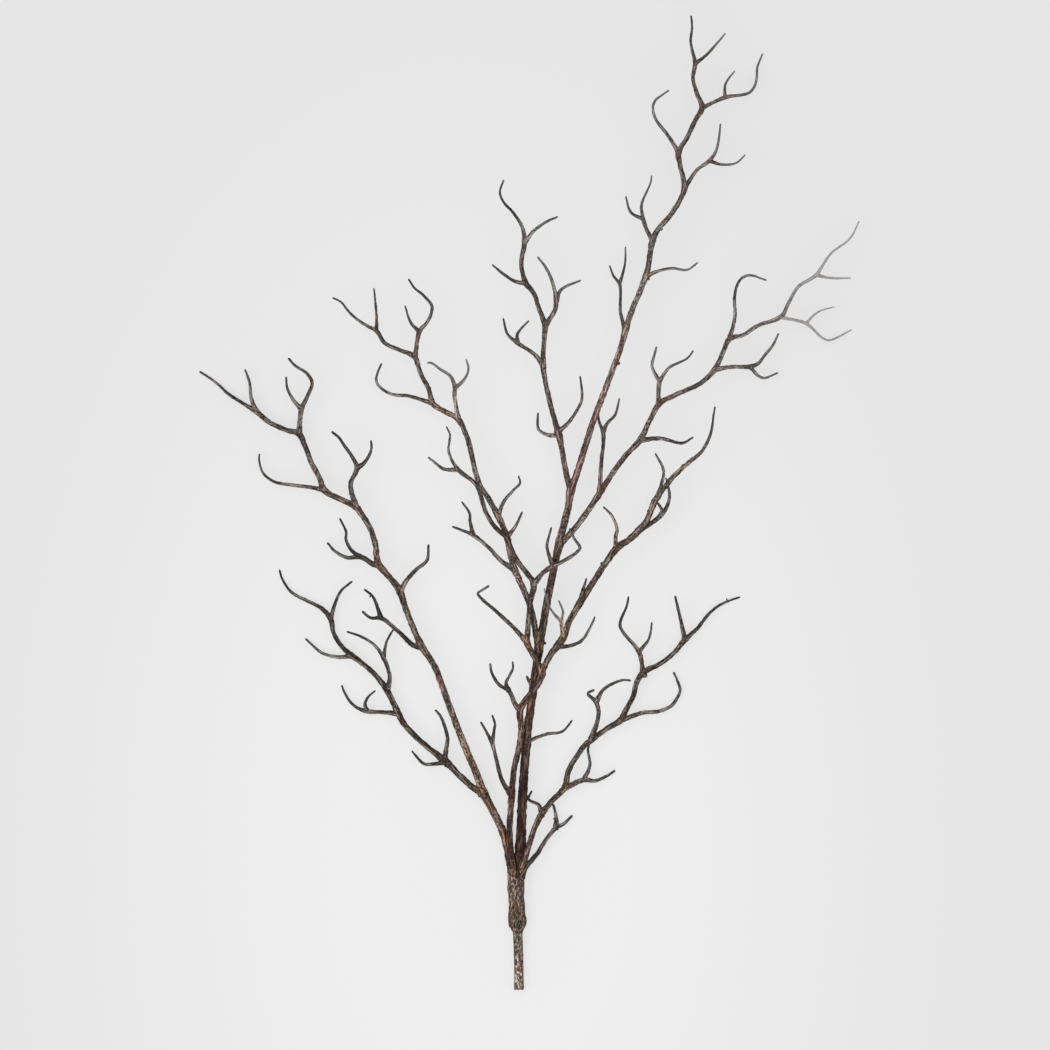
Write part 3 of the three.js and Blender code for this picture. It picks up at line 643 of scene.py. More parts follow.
sprayStrands = {}
for name, spray in sprays.items():
    if spray["on"] == "collar":
        foot, girth = spray["foot"], spray["girth"]
    else:
        parent = strands[spray["on"]]
        at = nearest(parent["points"], spray["route"][0])
        foot, girth = parent["points"][at][2], parent["radius"][at]
        swellAt(parent, spray["route"][0], tube["twigWidths"][0])
    bulk = spray.get("bulk", tube["sprayBulk"])
    tones = tonesOf(spray)
    stalk = twigStrand(spray["route"], [foot, spray["tip"]], tube["twigWidths"], bulk, girth, tones)
    at = nearest(stalk["points"], spray["fork"][0])
    side = twigStrand(spray["fork"], [stalk["points"][at][2], spray["forkTip"]], tube["sideWidths"], bulk,
                      stalk["radius"][at], [stalk["tone"][at], tones[1]])
    swellAt(stalk, spray["fork"][0], tube["sideWidths"][0])
    roundTip(stalk)
    roundTip(side)
    sprayStrands[name] = [stalk, side]

# Small knobs and spurs that stand out from a limb or spray, by the place of their tips.
nubs = [
    {"on": "main_limb", "tip": (101.2, 626), "width": 3.2},
    {"on": "main_limb", "tip": (27.2, 346.5), "width": 2.6},
    {"on": "inner_limb", "tip": (49.5, 357.5), "width": 3.0},
    {"on": "inner_limb", "tip": (81.6, 427.5), "width": 2.8},
    {"on": "inner_limb", "tip": (84.5, 418), "width": 2.8},
    {"on": "inner_limb", "tip": (128, 479.5), "width": 2.6},
    {"on": "left_limb", "tip": (-78.5, 315), "width": 3.6},
    {"on": "low_left_limb", "tip": (-113, 268), "width": 3.0},
    {"on": "low_left_limb", "tip": (-119, 267.5), "width": 2.6},
    {"on": "left_limb", "tip": (-41, 193.5), "width": 4.0},
    {"on": "right_limb", "tip": (127.6, 312.8), "width": 4.6},
    {"on": "right_limb", "tip": (101.5, 265.5), "width": 3.4},
    {"on": "right_limb", "tip": (207.6, 391.6), "width": 1.2},
    {"on": "inner_limb", "tip": (163.0, 525.6), "width": 2.2},
    {"on": "left_leader", "tip": (-87.8, 602.6), "width": 1.6},
    {"on": "main_limb", "tip": (130.8, 710.4), "width": 2.2},
    {"on": "main_limb", "tip": (143.4, 759.8), "width": 2.8},
    {"on": "main_limb", "tip": (167.2, 800.6), "width": 4.0, "rise": 2.2},
    {"on": "low_right_twig", "tip": (39.4, 159.4), "width": 1.6},
    {"on": "low_right_twig", "tip": (34.0, 171.0), "width": 1.4},
    {"on": "left_spray_1", "tip": (-149.6, 393.0), "width": 1.4},
    {"on": "left_spray_1", "tip": (-113.6, 347.4), "width": 1.4},
]
nubShape = {
    "step": 0.4,                  # mm from ring to ring
    "flare": [1.6, 1.2, 1.0],     # its width from foot to tip, in widths of its tip
    "rise": 0.6,                  # mm that a tip is above its foot, if it doesn't say
}

for nub in nubs:
    parent = strands.get(nub["on"])
    if parent is None:
        stalk, side = sprayStrands[nub["on"]][:2]
        gaps = [np.hypot(*(part["points"][:, :2] - nub["tip"]).T).min() for part in (stalk, side)]
        parent = stalk if gaps[0] <= gaps[1] else side
    at = nearest(parent["points"], nub["tip"])
    foot = parent["points"][at]
    line = np.array([foot, (*nub["tip"], foot[2] + nub.get("rise", nubShape["rise"]))])
    nub["walk"] = parent["walk"][at]
    widths = [share * nub["width"] for share in nubShape["flare"]]
    nub["strand"] = makeStrand(line, widths, nubShape["step"], tones=[parent["tone"][at]] * 2)
    roundTip(nub["strand"])
    if nub["on"] in sprayStrands:
        sprayStrands[nub["on"]].append(nub["strand"])

for strand in strands.values():
    roundTip(strand)
print("strands:", strandCount)


# Node helpers: an input takes a socket, which is linked, or a plain value.
def put(tree, socket, value):
    if isinstance(value, bpy.types.NodeSocket):
        tree.links.new(value, socket)
    else:
        socket.default_value = value


def addNode(tree, kind, inputs=None, **settings):
    made = tree.nodes.new(kind)
    for key, value in settings.items():
        setattr(made, key, value)
    for key, value in (inputs or {}).items():
        put(tree, made.inputs[key], value)
    return made


def mathOf(tree, operation, first, second=0.0, third=0.0):
    values = {0: first, 1: second, 2: third}
    return addNode(tree, "ShaderNodeMath", values, operation=operation).outputs[0]


def rangeOf(tree, value, low, high):
    values = {"Value": value, "From Min": low, "From Max": high}
    return addNode(tree, "ShaderNodeMapRange", values).outputs[0]


def mixOf(tree, factor, first, second, mode="MIX"):
    values = {0: factor, 6: first, 7: second}
    return addNode(tree, "ShaderNodeMix", values, data_type="RGBA", blend_type=mode).outputs[2]


# A group's inputs: each has a plain value, or the name of its kind where it has none.
socketKinds = {float: "NodeSocketFloat", int: "NodeSocketInt", tuple: "NodeSocketColor"}


def newTree(name, kind, ins, outs):
    tree = bpy.data.node_groups.new(name, kind)
    for label, socketKind in outs.items():
        tree.interface.new_socket(label, in_out="OUTPUT", socket_type=socketKind)
    for label, value in ins.items():
        socketKind = socketKinds.get(type(value), value)
        socket = tree.interface.new_socket(label, in_out="INPUT", socket_type=socketKind)
        if socketKind != value:
            socket.default_value = value
    start = tree.nodes.new("NodeGroupInput")
    end = tree.nodes.new("NodeGroupOutput")
    return tree, start.outputs, end.inputs


def readAttribute(tree, name, kind="FLOAT"):
    return addNode(tree, "GeometryNodeInputNamedAttribute", {"Name": name}, data_type=kind).outputs[0]


# Geometry nodes: a round tube along every strand, with the straightened place of each point on it.
def makeTubeTree():
    tree, given, result = newTree(
        "limbTube", "GeometryNodeTree",
        {"Geometry": "NodeSocketGeometry", "Sides": 12},
        {"Geometry": "NodeSocketGeometry"})
    curve = addNode(tree, "GeometryNodeMeshToCurve", {"Mesh": given["Geometry"]})
    ring = addNode(tree, "GeometryNodeCurvePrimitiveCircle", {"Resolution": given["Sides"], "Radius": 1.0})
    onRing = addNode(tree, "GeometryNodeInputPosition")
    rim = addNode(tree, "GeometryNodeStoreNamedAttribute",
                  {"Geometry": ring.outputs["Curve"], "Name": "rim", "Value": onRing.outputs[0]},
                  data_type="FLOAT_VECTOR", domain="POINT")
    skin = addNode(tree, "GeometryNodeCurveToMesh",
                   {"Curve": curve.outputs["Curve"], "Profile Curve": rim.outputs["Geometry"],
                    "Scale": readAttribute(tree, "radius"), "Fill Caps": True})
    turn = addNode(tree, "ShaderNodeSeparateXYZ", {0: readAttribute(tree, "rim", "FLOAT_VECTOR")})
    half = mathOf(tree, "MULTIPLY", readAttribute(tree, "girth"), 0.5)
    coord = addNode(tree, "ShaderNodeCombineXYZ",
                    {0: mathOf(tree, "MULTIPLY", turn.outputs[0], half),
                     1: mathOf(tree, "MULTIPLY", turn.outputs[1], half),
                     2: readAttribute(tree, "along")})
    kept = addNode(tree, "GeometryNodeStoreNamedAttribute",
                   {"Geometry": skin.outputs["Mesh"], "Name": "barkCoord", "Value": coord.outputs[0]},
                   data_type="FLOAT_VECTOR", domain="POINT")
    tree.links.new(kept.outputs["Geometry"], result["Geometry"])
    return tree


reliefNoise = {
    "lumpStretch": 0.6,
    "lumpDetail": 2.0,
    "ridgeDetail": 3.0,
    "pitStretch": 0.7,
    "pitDetail": 2.0,
    "roughness": 0.6,
    "cutFrom": 0.25,         # a cut face, which stays flat, starts at this much of "cut"
}


# Geometry nodes: lumps and lengthwise ridges pushed out of the bark.
def makeReliefTree():
    tree, given, result = newTree(
        "barkRelief", "GeometryNodeTree",
        {"Geometry": "NodeSocketGeometry", "Material": "NodeSocketMaterial", "Lump Height": 0.05,
         "Lump Size": 6.0, "Ridge Height": 0.2, "Ridge Size": 1.2, "Ridge Stretch": 7.0, "Pit Height": 0.1},
        {"Geometry": "NodeSocketGeometry"})
    coord = readAttribute(tree, "barkCoord", "FLOAT_VECTOR")
    girth = readAttribute(tree, "girth")
    whole = mathOf(tree, "LESS_THAN", readAttribute(tree, "cut"), reliefNoise["cutFrom"])

    def times(first, second):
        return mathOf(tree, "MULTIPLY", first, second)

    def bumps(size, stretch, detail, height):
        squash = addNode(tree, "ShaderNodeCombineXYZ", {0: 1.0, 1: 1.0, 2: stretch}).outputs[0]
        moved = addNode(tree, "ShaderNodeVectorMath", {0: coord, 1: squash}, operation="MULTIPLY")
        noise = addNode(tree, "ShaderNodeTexNoise",
                        {"Vector": moved.outputs[0], "Scale": mathOf(tree, "DIVIDE", 1.0, given[size]),
                         "Detail": detail, "Roughness": reliefNoise["roughness"]})
        return times(mathOf(tree, "SUBTRACT", noise.outputs[0], 0.5), given[height])

    along = mathOf(tree, "DIVIDE", 1.0, given["Ridge Stretch"])
    lump = bumps("Lump Size", reliefNoise["lumpStretch"], reliefNoise["lumpDetail"], "Lump Height")
    ridge = bumps("Ridge Size", along, reliefNoise["ridgeDetail"], "Ridge Height")
    pit = bumps("Ridge Size", reliefNoise["pitStretch"], reliefNoise["pitDetail"], "Pit Height")
    total = mathOf(tree, "ADD", mathOf(tree, "ADD", times(lump, girth), ridge), pit)
    total = times(times(total, whole), place["metres"])
    normal = addNode(tree, "GeometryNodeInputNormal").outputs[0]
    # Painted shade: the upward part of the normal is kept as 'upward', so that the bark pattern darkens the
    # flanks and undersides as if lit from above.
    upward = addNode(tree, "ShaderNodeSeparateXYZ", {0: normal}).outputs[2]
    lit = addNode(tree, "GeometryNodeStoreNamedAttribute",
                  {"Geometry": given["Geometry"], "Name": "upward", "Value": upward},
                  data_type="FLOAT", domain="POINT")
    push = addNode(tree, "ShaderNodeVectorMath", {0: normal, "Scale": total}, operation="SCALE")
    moved = addNode(tree, "GeometryNodeSetPosition",
                    {"Geometry": lit.outputs["Geometry"], "Offset": push.outputs[0]})
    soft = addNode(tree, "GeometryNodeSetShadeSmooth", {0: moved.outputs["Geometry"]})
    real = addNode(tree, "GeometryNodeRealizeInstances", {"Geometry": soft.outputs[0]})
    done = addNode(tree, "GeometryNodeSetMaterial",
                   {"Geometry": real.outputs["Geometry"], "Material": given["Material"]})
    tree.links.new(done.outputs["Geometry"], result["Geometry"])
    return tree


tubeTree = makeTubeTree()
reliefTree = makeReliefTree()


def applyTree(piece, tree, values):
    modifier = piece.modifiers.new(tree.name, "NODES")
    modifier.node_group = tree
    for item in tree.interface.items_tree:
        if item.in_out == "INPUT" and item.name in values:
            modifier[item.identifier] = values[item.name]


# The evaluated shape as a plain mesh, with the modifiers taken off.
def settle(piece):
    graph = bpy.context.evaluated_depsgraph_get()
    mesh = bpy.data.meshes.new_from_object(piece.evaluated_get(graph), preserve_all_data_layers=True,
                                           depsgraph=graph)
    piece.modifiers.clear()
    old = piece.data
    piece.data = mesh
    mesh.name = piece.name
    bpy.data.meshes.remove(old)


def toFrame(points):
    shift = np.array([place["originX"], place["originY"], 0])
    return (np.asarray(points) - shift) * place["metres"]


def storeValues(mesh, values):
    for key, value in values.items():
        attribute = mesh.attributes.new(key, "FLOAT", "POINT")
        attribute.data.foreach_set("value", value.astype(np.float32))


# An object that holds the strands as lines with their values at every point.
def strandObject(name, parts):
    points = np.vstack([toFrame(part["points"]) for part in parts])
    edges = []
    base = 0
    for part in parts:
        count = len(part["walk"])
        edges += [(base + i, base + i + 1) for i in range(count - 1)]
        base += count
    mesh = bpy.data.meshes.new(name)
    mesh.from_pydata(points.tolist(), edges, [])
    radius = np.concatenate([part["radius"] for part in parts])
    values = {
        "radius": radius * place["metres"],
        "girth": np.concatenate([part.get("girth", part["radius"] * 2) for part in parts]),
    }
    for key in ("stain", "gold", "red", "deep", "tone", "cut", "along"):
        values[key] = np.concatenate([part[key] for part in parts])
    storeValues(mesh, values)
    piece = bpy.data.objects.new(name, mesh)
    bpy.context.scene.collection.objects.link(piece)
    return piece


def finishPiece(piece, node):
    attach(piece, "root")
    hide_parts(node)


def growPiece(node, slot, parts, sides, ridges):
    piece = strandObject(node + "_bark", parts)
    applyTree(piece, tubeTree, {"Sides": sides})
    applyTree(piece, reliefTree, dict(ridges, Material=materials[slot]))
    settle(piece)
    finishPiece(piece, node)
    return len(piece.data.polygons)


# Colours are given as screen values from 0 to 255.
def screen(red, green, blue):
    parts = []
    for value in (red, green, blue):
        share = value / 255
        parts.append(share / 12.92 if share <= 0.04045 else ((share + 0.055) / 1.055) ** 2.4)
    return (*parts, 1.0)


# Noise in the bark: scale, stretch along the branch, detail and shift.
barkNoise = {
    "fine": (0.9, 0.38, 3.0, 0.0),
    "fleck": (0.85, 0.48, 2.0, 31.0),
    "streak": (0.55, 0.12, 2.0, 57.0),
    # band: painted shade that darkens one side of a limb along a stretch
    "band": (0.2, 0.12, 1.0, 19.0),
    "mottle": (0.3, 0.6, 3.0, 83.0),
    "hue": (0.04, 1.0, 1.0, 11.0),
    "slow": (0.025, 1.0, 1.0, 43.0),
    "cool": (0.05, 1.0, 1.0, 71.0),
}
grainNoise = ("fine", "fleck")       # these follow Grain

# From where to where a noise, a width in mm, a tone or a place acts.
barkRange = {
    "fine": (0.4, 0.6), "fleck": (0.54, 0.6), "streak": (0.54, 0.62), "mottle": (0.46, 0.66),
    "stoutGirth": (2.4, 6.0), "stoutTone": (0.4, 1.0), "stoutSlow": (0.4, 0.6), "slim": (6.8, 3.0),
    "red": (0.54, 0.64), "golden": (0.46, 0.36), "Plum": (0.52, 0.62), "Olive": (0.48, 0.38),
    "tip": (3.2, 2.0), "slow": (0.3, 0.7), "band": (0.36, 0.64), "upward": (0.05, 0.75),
    "faded": (1.9, 3.2),             # tones that fade to Pale
    "far": (-0.16, 0.36),            # metres along the frame
}

# How much of each shows at most.
barkShare = {
    "slim": 0.85, "far": 0.65, "stain": 0.35, "red": 0.4, "golden": 0.3, "cool": 0.7, "tip": 0.75,
    "faded": 0.9, "height": 0.6,
}

# The part of a strength that varies, and the part that is always there.
barkLevel = {
    "stoutGirth": (0.6, 0.4), "stoutTone": (0.6, 0.4), "stoutSlow": (0.5, 0.6), "stoutRed": (-0.5, 1.0),
    "calm": (-0.6, 1.0), "slow": (0.4, 0.8), "band": (0.6, 0.7), "upward": (0.7, 0.3), "rough": (0.2, 0.72),
}
barkFinish = {
    "noiseRoughness": 0.6,
    "bumpDistance": 0.0006,     # metres
    "specular": 0.25,
}
barkTints = {
    "deep": (0.6, 0.42, 0.36, 1.0),
    "paleGrain": (0.6, 0.58, 0.57, 1.0),
    "none": (1.0, 1.0, 1.0, 1.0),
}


# Shader nodes: bark colour, roughness and height from the straightened place on the branch.
def makeBarkGroup():
    tree, given, result = newTree(
        "barkPattern", "ShaderNodeTree",
        {"Coord": "NodeSocketVector", "Girth": 5.0, "Stain": 0.0, "Upward": 1.0,
         "Dark": screen(40, 32, 28), "Mid": screen(80, 66, 56), "Light": screen(150, 128, 104),
         "Tip": screen(50, 48, 46), "Red": (1.26, 0.92, 0.9, 1.0), "Golden": (1.28, 1.08, 0.82, 1.0),
         "Plum": (1.0, 0.93, 1.04, 1.0), "Olive": (0.98, 1.02, 0.9, 1.0), "Gold Share": 0.0,
         "Red Share": 0.0, "Foot Shade": 0.0, "Tone": 1.0, "Far": 0.0, "Pale": screen(184, 182, 181),
         "Fleck": 0.6, "Streak": 0.5, "Mottle": 0.2, "Tint": 0.9, "Grain": 1.0},
        {"Color": "NodeSocketColor", "Roughness": "NodeSocketFloat", "Height": "NodeSocketFloat"})

    def times(first, second):
        return mathOf(tree, "MULTIPLY", first, second)

    def larger(first, second):
        return mathOf(tree, "MAXIMUM", first, second)

    def noiseOf(name):
        scale, stretch, detail, shift = barkNoise[name]
        if name in grainNoise:
            scale = times(given["Grain"], scale)
        moved = addNode(tree, "ShaderNodeVectorMath",
                        {0: given["Coord"], 1: (1.0, 1.0, stretch), 2: (shift, shift, shift)},
                        operation="MULTIPLY_ADD")
        values = {"Vector": moved.outputs[0], "Scale": scale, "Detail": detail,
                  "Roughness": barkFinish["noiseRoughness"]}
        return addNode(tree, "ShaderNodeTexNoise", values).outputs[0]

    def ranged(value, name):
        return rangeOf(tree, value, *barkRange[name])

    def level(value, name):
        return mathOf(tree, "MULTIPLY_ADD", value, *barkLevel[name])

    def blend(factor, first, second, mode="MIX"):
        return mixOf(tree, factor, first, second, mode)

    def tinted(factor, base, tint):
        return blend(factor, base, blend(1.0, base, tint, "MULTIPLY"))

    noise = {name: noiseOf(name) for name in barkNoise}

    # Dark bark with pale streaks and flecks
    grainy = ranged(noise["fine"], "fine")
    color = blend(grainy, given["Dark"], given["Mid"])
    color = blend(times(ranged(noise["mottle"], "mottle"), given["Mottle"]), color, given["Light"])
    calm = level(given["Far"], "calm")
    stout = level(given["Red Share"], "stoutRed")
    stoutFrom = {"stoutGirth": given["Girth"], "stoutTone": given["Tone"], "stoutSlow": noise["slow"]}
    for name, value in stoutFrom.items():
        stout = times(stout, level(ranged(value, name), name))
    for name, strength in (("streak", given["Streak"]), ("fleck", times(given["Fleck"], stout))):
        color = blend(times(ranged(noise[name], name), times(strength, calm)), color, given["Light"])

    # Neutral where it is slim or far from the stem, red and golden in places
    bare = addNode(tree, "ShaderNodeRGBToBW", {0: color}).outputs[0]
    slim = times(ranged(given["Girth"], "slim"), barkShare["slim"])
    color = blend(larger(slim, times(given["Far"], barkShare["far"])), color, bare)
    natural = times(ranged(noise["hue"], "red"), barkShare["red"])
    red = larger(times(given["Stain"], barkShare["stain"]), natural)
    color = tinted(times(larger(red, given["Red Share"]), given["Tint"]), color, given["Red"])
    golden = larger(times(ranged(noise["hue"], "golden"), barkShare["golden"]), given["Gold Share"])
    color = tinted(times(golden, given["Tint"]), color, given["Golden"])
    for name in ("Plum", "Olive"):
        color = tinted(times(ranged(noise["cool"], name), barkShare["cool"]), color, given[name])
    # Painted shade: a reddish darkening where the feet of the limbs crowd together above the collar.
    color = tinted(given["Foot Shade"], color, barkTints["deep"])
    plain = mathOf(tree, "SUBTRACT", 1.0, given["Gold Share"])
    slender = times(ranged(given["Girth"], "tip"), times(plain, barkShare["tip"]))
    color = blend(slender, color, given["Tip"])

    # Painted shade: darker down one side of a limb and on the flanks that face away from the top light.
    # Also darker in stretches, and pale grey where the tone is high.
    shade = mathOf(tree, "MINIMUM", given["Tone"], barkRange["faded"][0])
    shadeFrom = {"slow": noise["slow"], "band": noise["band"], "upward": given["Upward"]}
    for name, value in shadeFrom.items():
        shade = times(shade, level(ranged(value, name), name))
    grey = addNode(tree, "ShaderNodeCombineColor", {0: shade, 1: shade, 2: shade}).outputs[0]
    color = blend(1.0, color, grey, "MULTIPLY")
    speckle = blend(grainy, barkTints["paleGrain"], barkTints["none"])
    faded = blend(1.0, given["Pale"], speckle, "MULTIPLY")
    color = blend(times(ranged(given["Tone"], "faded"), barkShare["faded"]), color, faded)
    put(tree, result["Color"], color)
    put(tree, result["Roughness"], level(noise["fine"], "rough"))
    heights = [times(noise[name], barkShare["height"]) for name in ("fine", "streak")]
    put(tree, result["Height"], mathOf(tree, "ADD", *heights))
    return tree


barkGroup = makeBarkGroup()


cutFace = {
    "grainScale": 700.0,
    "grainDetail": 2.0,
    "waver": 0.12,           # how far the grain bends the rings
    "rings": 38.0,
    "ring": (0.55, 1.0),     # the part of a ring's wave that is dark
    "pith": (0.2, 0.12),     # shares of the radius
    "rim": (0.9, 0.98),
    "edge": (0.35, 0.45),    # where "cut" turns from bark to wood
}


# The cut face, where "cut" runs from 0.5 at the pith to 1 at the rim: growth rings, dark pith, dark rim.
def addCutWood(tree, bark, look):
    cut = addNode(tree, "ShaderNodeAttribute", attribute_name="cut").outputs["Fac"]
    spot = addNode(tree, "ShaderNodeTexCoord").outputs["Object"]
    values = {"Vector": spot, "Scale": cutFace["grainScale"], "Detail": cutFace["grainDetail"]}
    grain = addNode(tree, "ShaderNodeTexNoise", values).outputs[0]
    share = mathOf(tree, "MULTIPLY_ADD", cut, 2.0, -1.0)
    wavy = mathOf(tree, "MULTIPLY_ADD", grain, cutFace["waver"], share)
    wave = mathOf(tree, "SINE", mathOf(tree, "MULTIPLY", wavy, cutFace["rings"]))
    ring = mathOf(tree, "MULTIPLY_ADD", wave, 0.5, 0.5)

    def shift(value, name, first, second):
        return mixOf(tree, rangeOf(tree, value, *cutFace[name]), first, second)

    wood = shift(ring, "ring", look["cutWood"], look["cutRing"])
    wood = shift(wavy, "pith", wood, look["cutPith"])
    wood = shift(wavy, "rim", wood, look["cutPith"])
    return shift(cut, "edge", bark, wood)


def makeBark(name, look):
    material = bpy.data.materials.new(name)
    material.use_nodes = True
    tree = material.node_tree
    shader = tree.nodes["Principled BSDF"]
    bark = addNode(tree, "ShaderNodeGroup", node_tree=barkGroup)
    coord = addNode(tree, "ShaderNodeAttribute", attribute_name="barkCoord")
    tree.links.new(coord.outputs["Vector"], bark.inputs["Coord"])
    wired = {"Girth": "girth", "Stain": "stain", "Gold Share": "gold", "Red Share": "red",
             "Foot Shade": "deep", "Tone": "tone", "Upward": "upward"}
    for label, attribute in wired.items():
        value = addNode(tree, "ShaderNodeAttribute", attribute_name=attribute)
        tree.links.new(value.outputs["Fac"], bark.inputs[label])
    spot = addNode(tree, "ShaderNodeTexCoord").outputs["Object"]
    along = addNode(tree, "ShaderNodeSeparateXYZ", {0: spot}).outputs["Y"]
    put(tree, bark.inputs["Far"], rangeOf(tree, along, *barkRange["far"]))
    for key, value in look.items():
        if key in bark.inputs:
            bark.inputs[key].default_value = value
    bump = addNode(tree, "ShaderNodeBump",
                   {"Strength": look["bump"], "Distance": barkFinish["bumpDistance"],
                    "Height": bark.outputs["Height"]})
    color = bark.outputs["Color"]
    if "cutWood" in look:
        color = addCutWood(tree, color, look)
    put(tree, shader.inputs["Base Color"], color)
    put(tree, shader.inputs["Roughness"], bark.outputs["Roughness"])
    put(tree, shader.inputs["Normal"], bump.outputs["Normal"])
    shader.inputs["Specular IOR Level"].default_value = barkFinish["specular"]
    return material


looks = {
    "stem_bark": {
        "Dark": screen(30, 22, 16), "Mid": screen(90, 78, 68), "Light": screen(214, 198, 178),
        "Grain": 0.72, "Fleck": 1.0, "Streak": 0.15, "Mottle": 0.1, "bump": 0.6,
        "cutWood": screen(196, 170, 132), "cutRing": screen(150, 118, 82), "cutPith": screen(74, 52, 38),
    },
    "collar_bark": {
        "Dark": screen(26, 16, 13), "Mid": screen(86, 72, 64), "Light": screen(204, 182, 164),
        "Grain": 0.8, "Fleck": 0.85, "Streak": 0.3, "Mottle": 0.1, "bump": 0.6,
    },
    "limb_bark": {
        "Dark": screen(18, 12, 9), "Mid": screen(83, 67, 56), "Light": screen(210, 190, 171),
        "Fleck": 0.6, "Streak": 0.55, "Mottle": 0.06, "bump": 0.4, "Tip": screen(52, 50, 49),
    },
    "twig_bark": {
        "Dark": screen(24, 20, 18), "Mid": screen(82, 75, 70), "Light": screen(196, 184, 172),
        "Fleck": 0.5, "Streak": 0.5, "Mottle": 0.05, "bump": 0.3, "Tip": screen(54, 53, 52),
    },
}
materials = {name: makeBark(name, look) for name, look in looks.items()}
print("materials:", len(materials))

relief = {
    "limb": {"Lump Height": 0.33, "Lump Size": 3.7, "Ridge Height": 0.7, "Ridge Size": 1.3,
             "Ridge Stretch": 7.0, "Pit Height": 0.8},
    "twig": {"Lump Height": 0.34, "Lump Size": 3.2, "Ridge Height": 0.4, "Ridge Size": 1.0,
             "Ridge Stretch": 7.0, "Pit Height": 0.45},
    "stem": {"Lump Height": 0.08, "Lump Size": 5.0, "Ridge Height": 0.5, "Ridge Size": 1.6,
             "Ridge Stretch": 3.0, "Pit Height": 0.9},
    "collar": {"Lump Height": 0.16, "Lump Size": 5.0, "Ridge Height": 1.5, "Ridge Size": 2.0,
               "Ridge Stretch": 8.0, "Pit Height": 0.9},
}

# The stem: a flat cut end, then the bark up to the collar.
stem = {
    "route": [(0, 0, 4.95), (-0.3, 28.5, 6.88), (-1.3, 57, 8.8)],
    "widths": [9.7, 9.4, 9.3, 9.3, 9.5],
    "cutRings": 24,
    "cutDepth": 0.01,      # mm from ring to ring of the cut end
    "cutWidth": 0.96,      # width of the cut wood, as a share of the stem
    "pith": 0.05,          # mm, the first ring
    "into": 4.0,           # mm that the stem reaches into the collar
    "step": 0.6,           # mm from ring to ring of the bark
    "sides": 28,
}


def growStem():
    line = curveOf(stem["route"])
    ahead = line[-1] - line[-2]
    line = np.vstack([line, line[-1] + ahead / np.linalg.norm(ahead) * stem["into"]])
    strand = makeStrand(line, stem["widths"], stem["step"])
    rings = np.arange(stem["cutRings"], 0, -1)
    direction = strand["points"][1] - strand["points"][0]
    direction = direction / np.linalg.norm(direction)
    radius = strand["radius"][0]
    face = {
        "points": strand["points"][0] - direction * (rings * stem["cutDepth"])[:, None],
        "radius": radius * (1 - rings / stem["cutRings"]) * stem["cutWidth"] + stem["pith"],
        "cut": 0.5 + 0.5 * (1 - (rings - 1) / stem["cutRings"]),
    }
    joined = {key: np.concatenate([face[key] if key in face else np.repeat(value[:1], len(rings)), value])
              for key, value in strand.items()}
    joined["girth"] = np.full(len(joined["walk"]), 2 * radius)
    return growPiece("stem", "stem_bark", [joined], stem["sides"], relief["stem"])


faces = growStem()

# The collar: a swollen sleeve with the feet of the limbs running down into it as ridges.
collar = {
    "sleeve": [(-1.2, 54.5, 8.7), (-1.3, 58, 8.9), (-1.5, 64, 9.3), (-1.8, 72, 9.8), (-2.6, 90, 11),
               (-3.1, 106, 12.2), (-3.3, 116, 12.9)],
    "sleeveWidths": [(54.5, 8.2), (56, 9.5), (58.5, 10.6), (61, 13.2), (63, 16), (65, 17.2), (68, 17.2),
                     (74, 16.8), (84, 16.2), (96, 15.4), (106, 13.6), (116, 9)],
    "lobes": [
        {"route": [(0.8, 74, 9.6), (0.4, 100, 11.2), (0, 121.2, 12.4), (0.2, 123.4, 12.7)],
         "widths": [5, 9, 10, 10]},
        {"route": [(-6.4, 70, 8.9), (-7.1, 98, 10.3), (-8, 121.2, 11.6), (-8.4, 123.4, 11.9)],
         "widths": [5, 7.4, 8, 8]},
        {"route": [(-4.6, 84, 13.2), (-5.4, 104, 16), (-5.6, 121.2, 18.2), (-5.9, 123.4, 18.6)],
         "widths": [3.4, 6, 6.6, 6.6]},
        {"route": [(1.8, 88, 13), (2.2, 106, 15.6), (2.8, 121.2, 17.6), (3.5, 123.4, 17.6)],
         "widths": [3, 5.2, 5.6, 5.6]},
    ],
    "bumps": [
        {"route": [(3.2, 62, 9), (4.5, 67, 9.2), (3.4, 77, 9.8)], "widths": [4, 6.8, 4]},
        {"route": [(-7.2, 62.5, 8.8), (-8, 67, 9), (-7.6, 82, 10)], "widths": [4.6, 5.8, 5]},
        {"route": [(-9.4, 98, 10.2), (-10, 102, 10.5), (-9.2, 107, 10.8)], "widths": [2.4, 3.4, 2.4]},
        {"route": [(3.2, 114, 15.8), (5, 118.5, 16.8), (8, 123.5, 16.6)], "widths": [2.6, 4.6, 4.4]},
    ],
    "sleeveStep": 0.8,     # mm from ring to ring
    "ridgeStep": 0.6,
    "sides": 32,
    "girth": 9.0,          # mm, as the bark's pattern takes it
    "voxel": 0.42,
    "smoothing": 8,
}


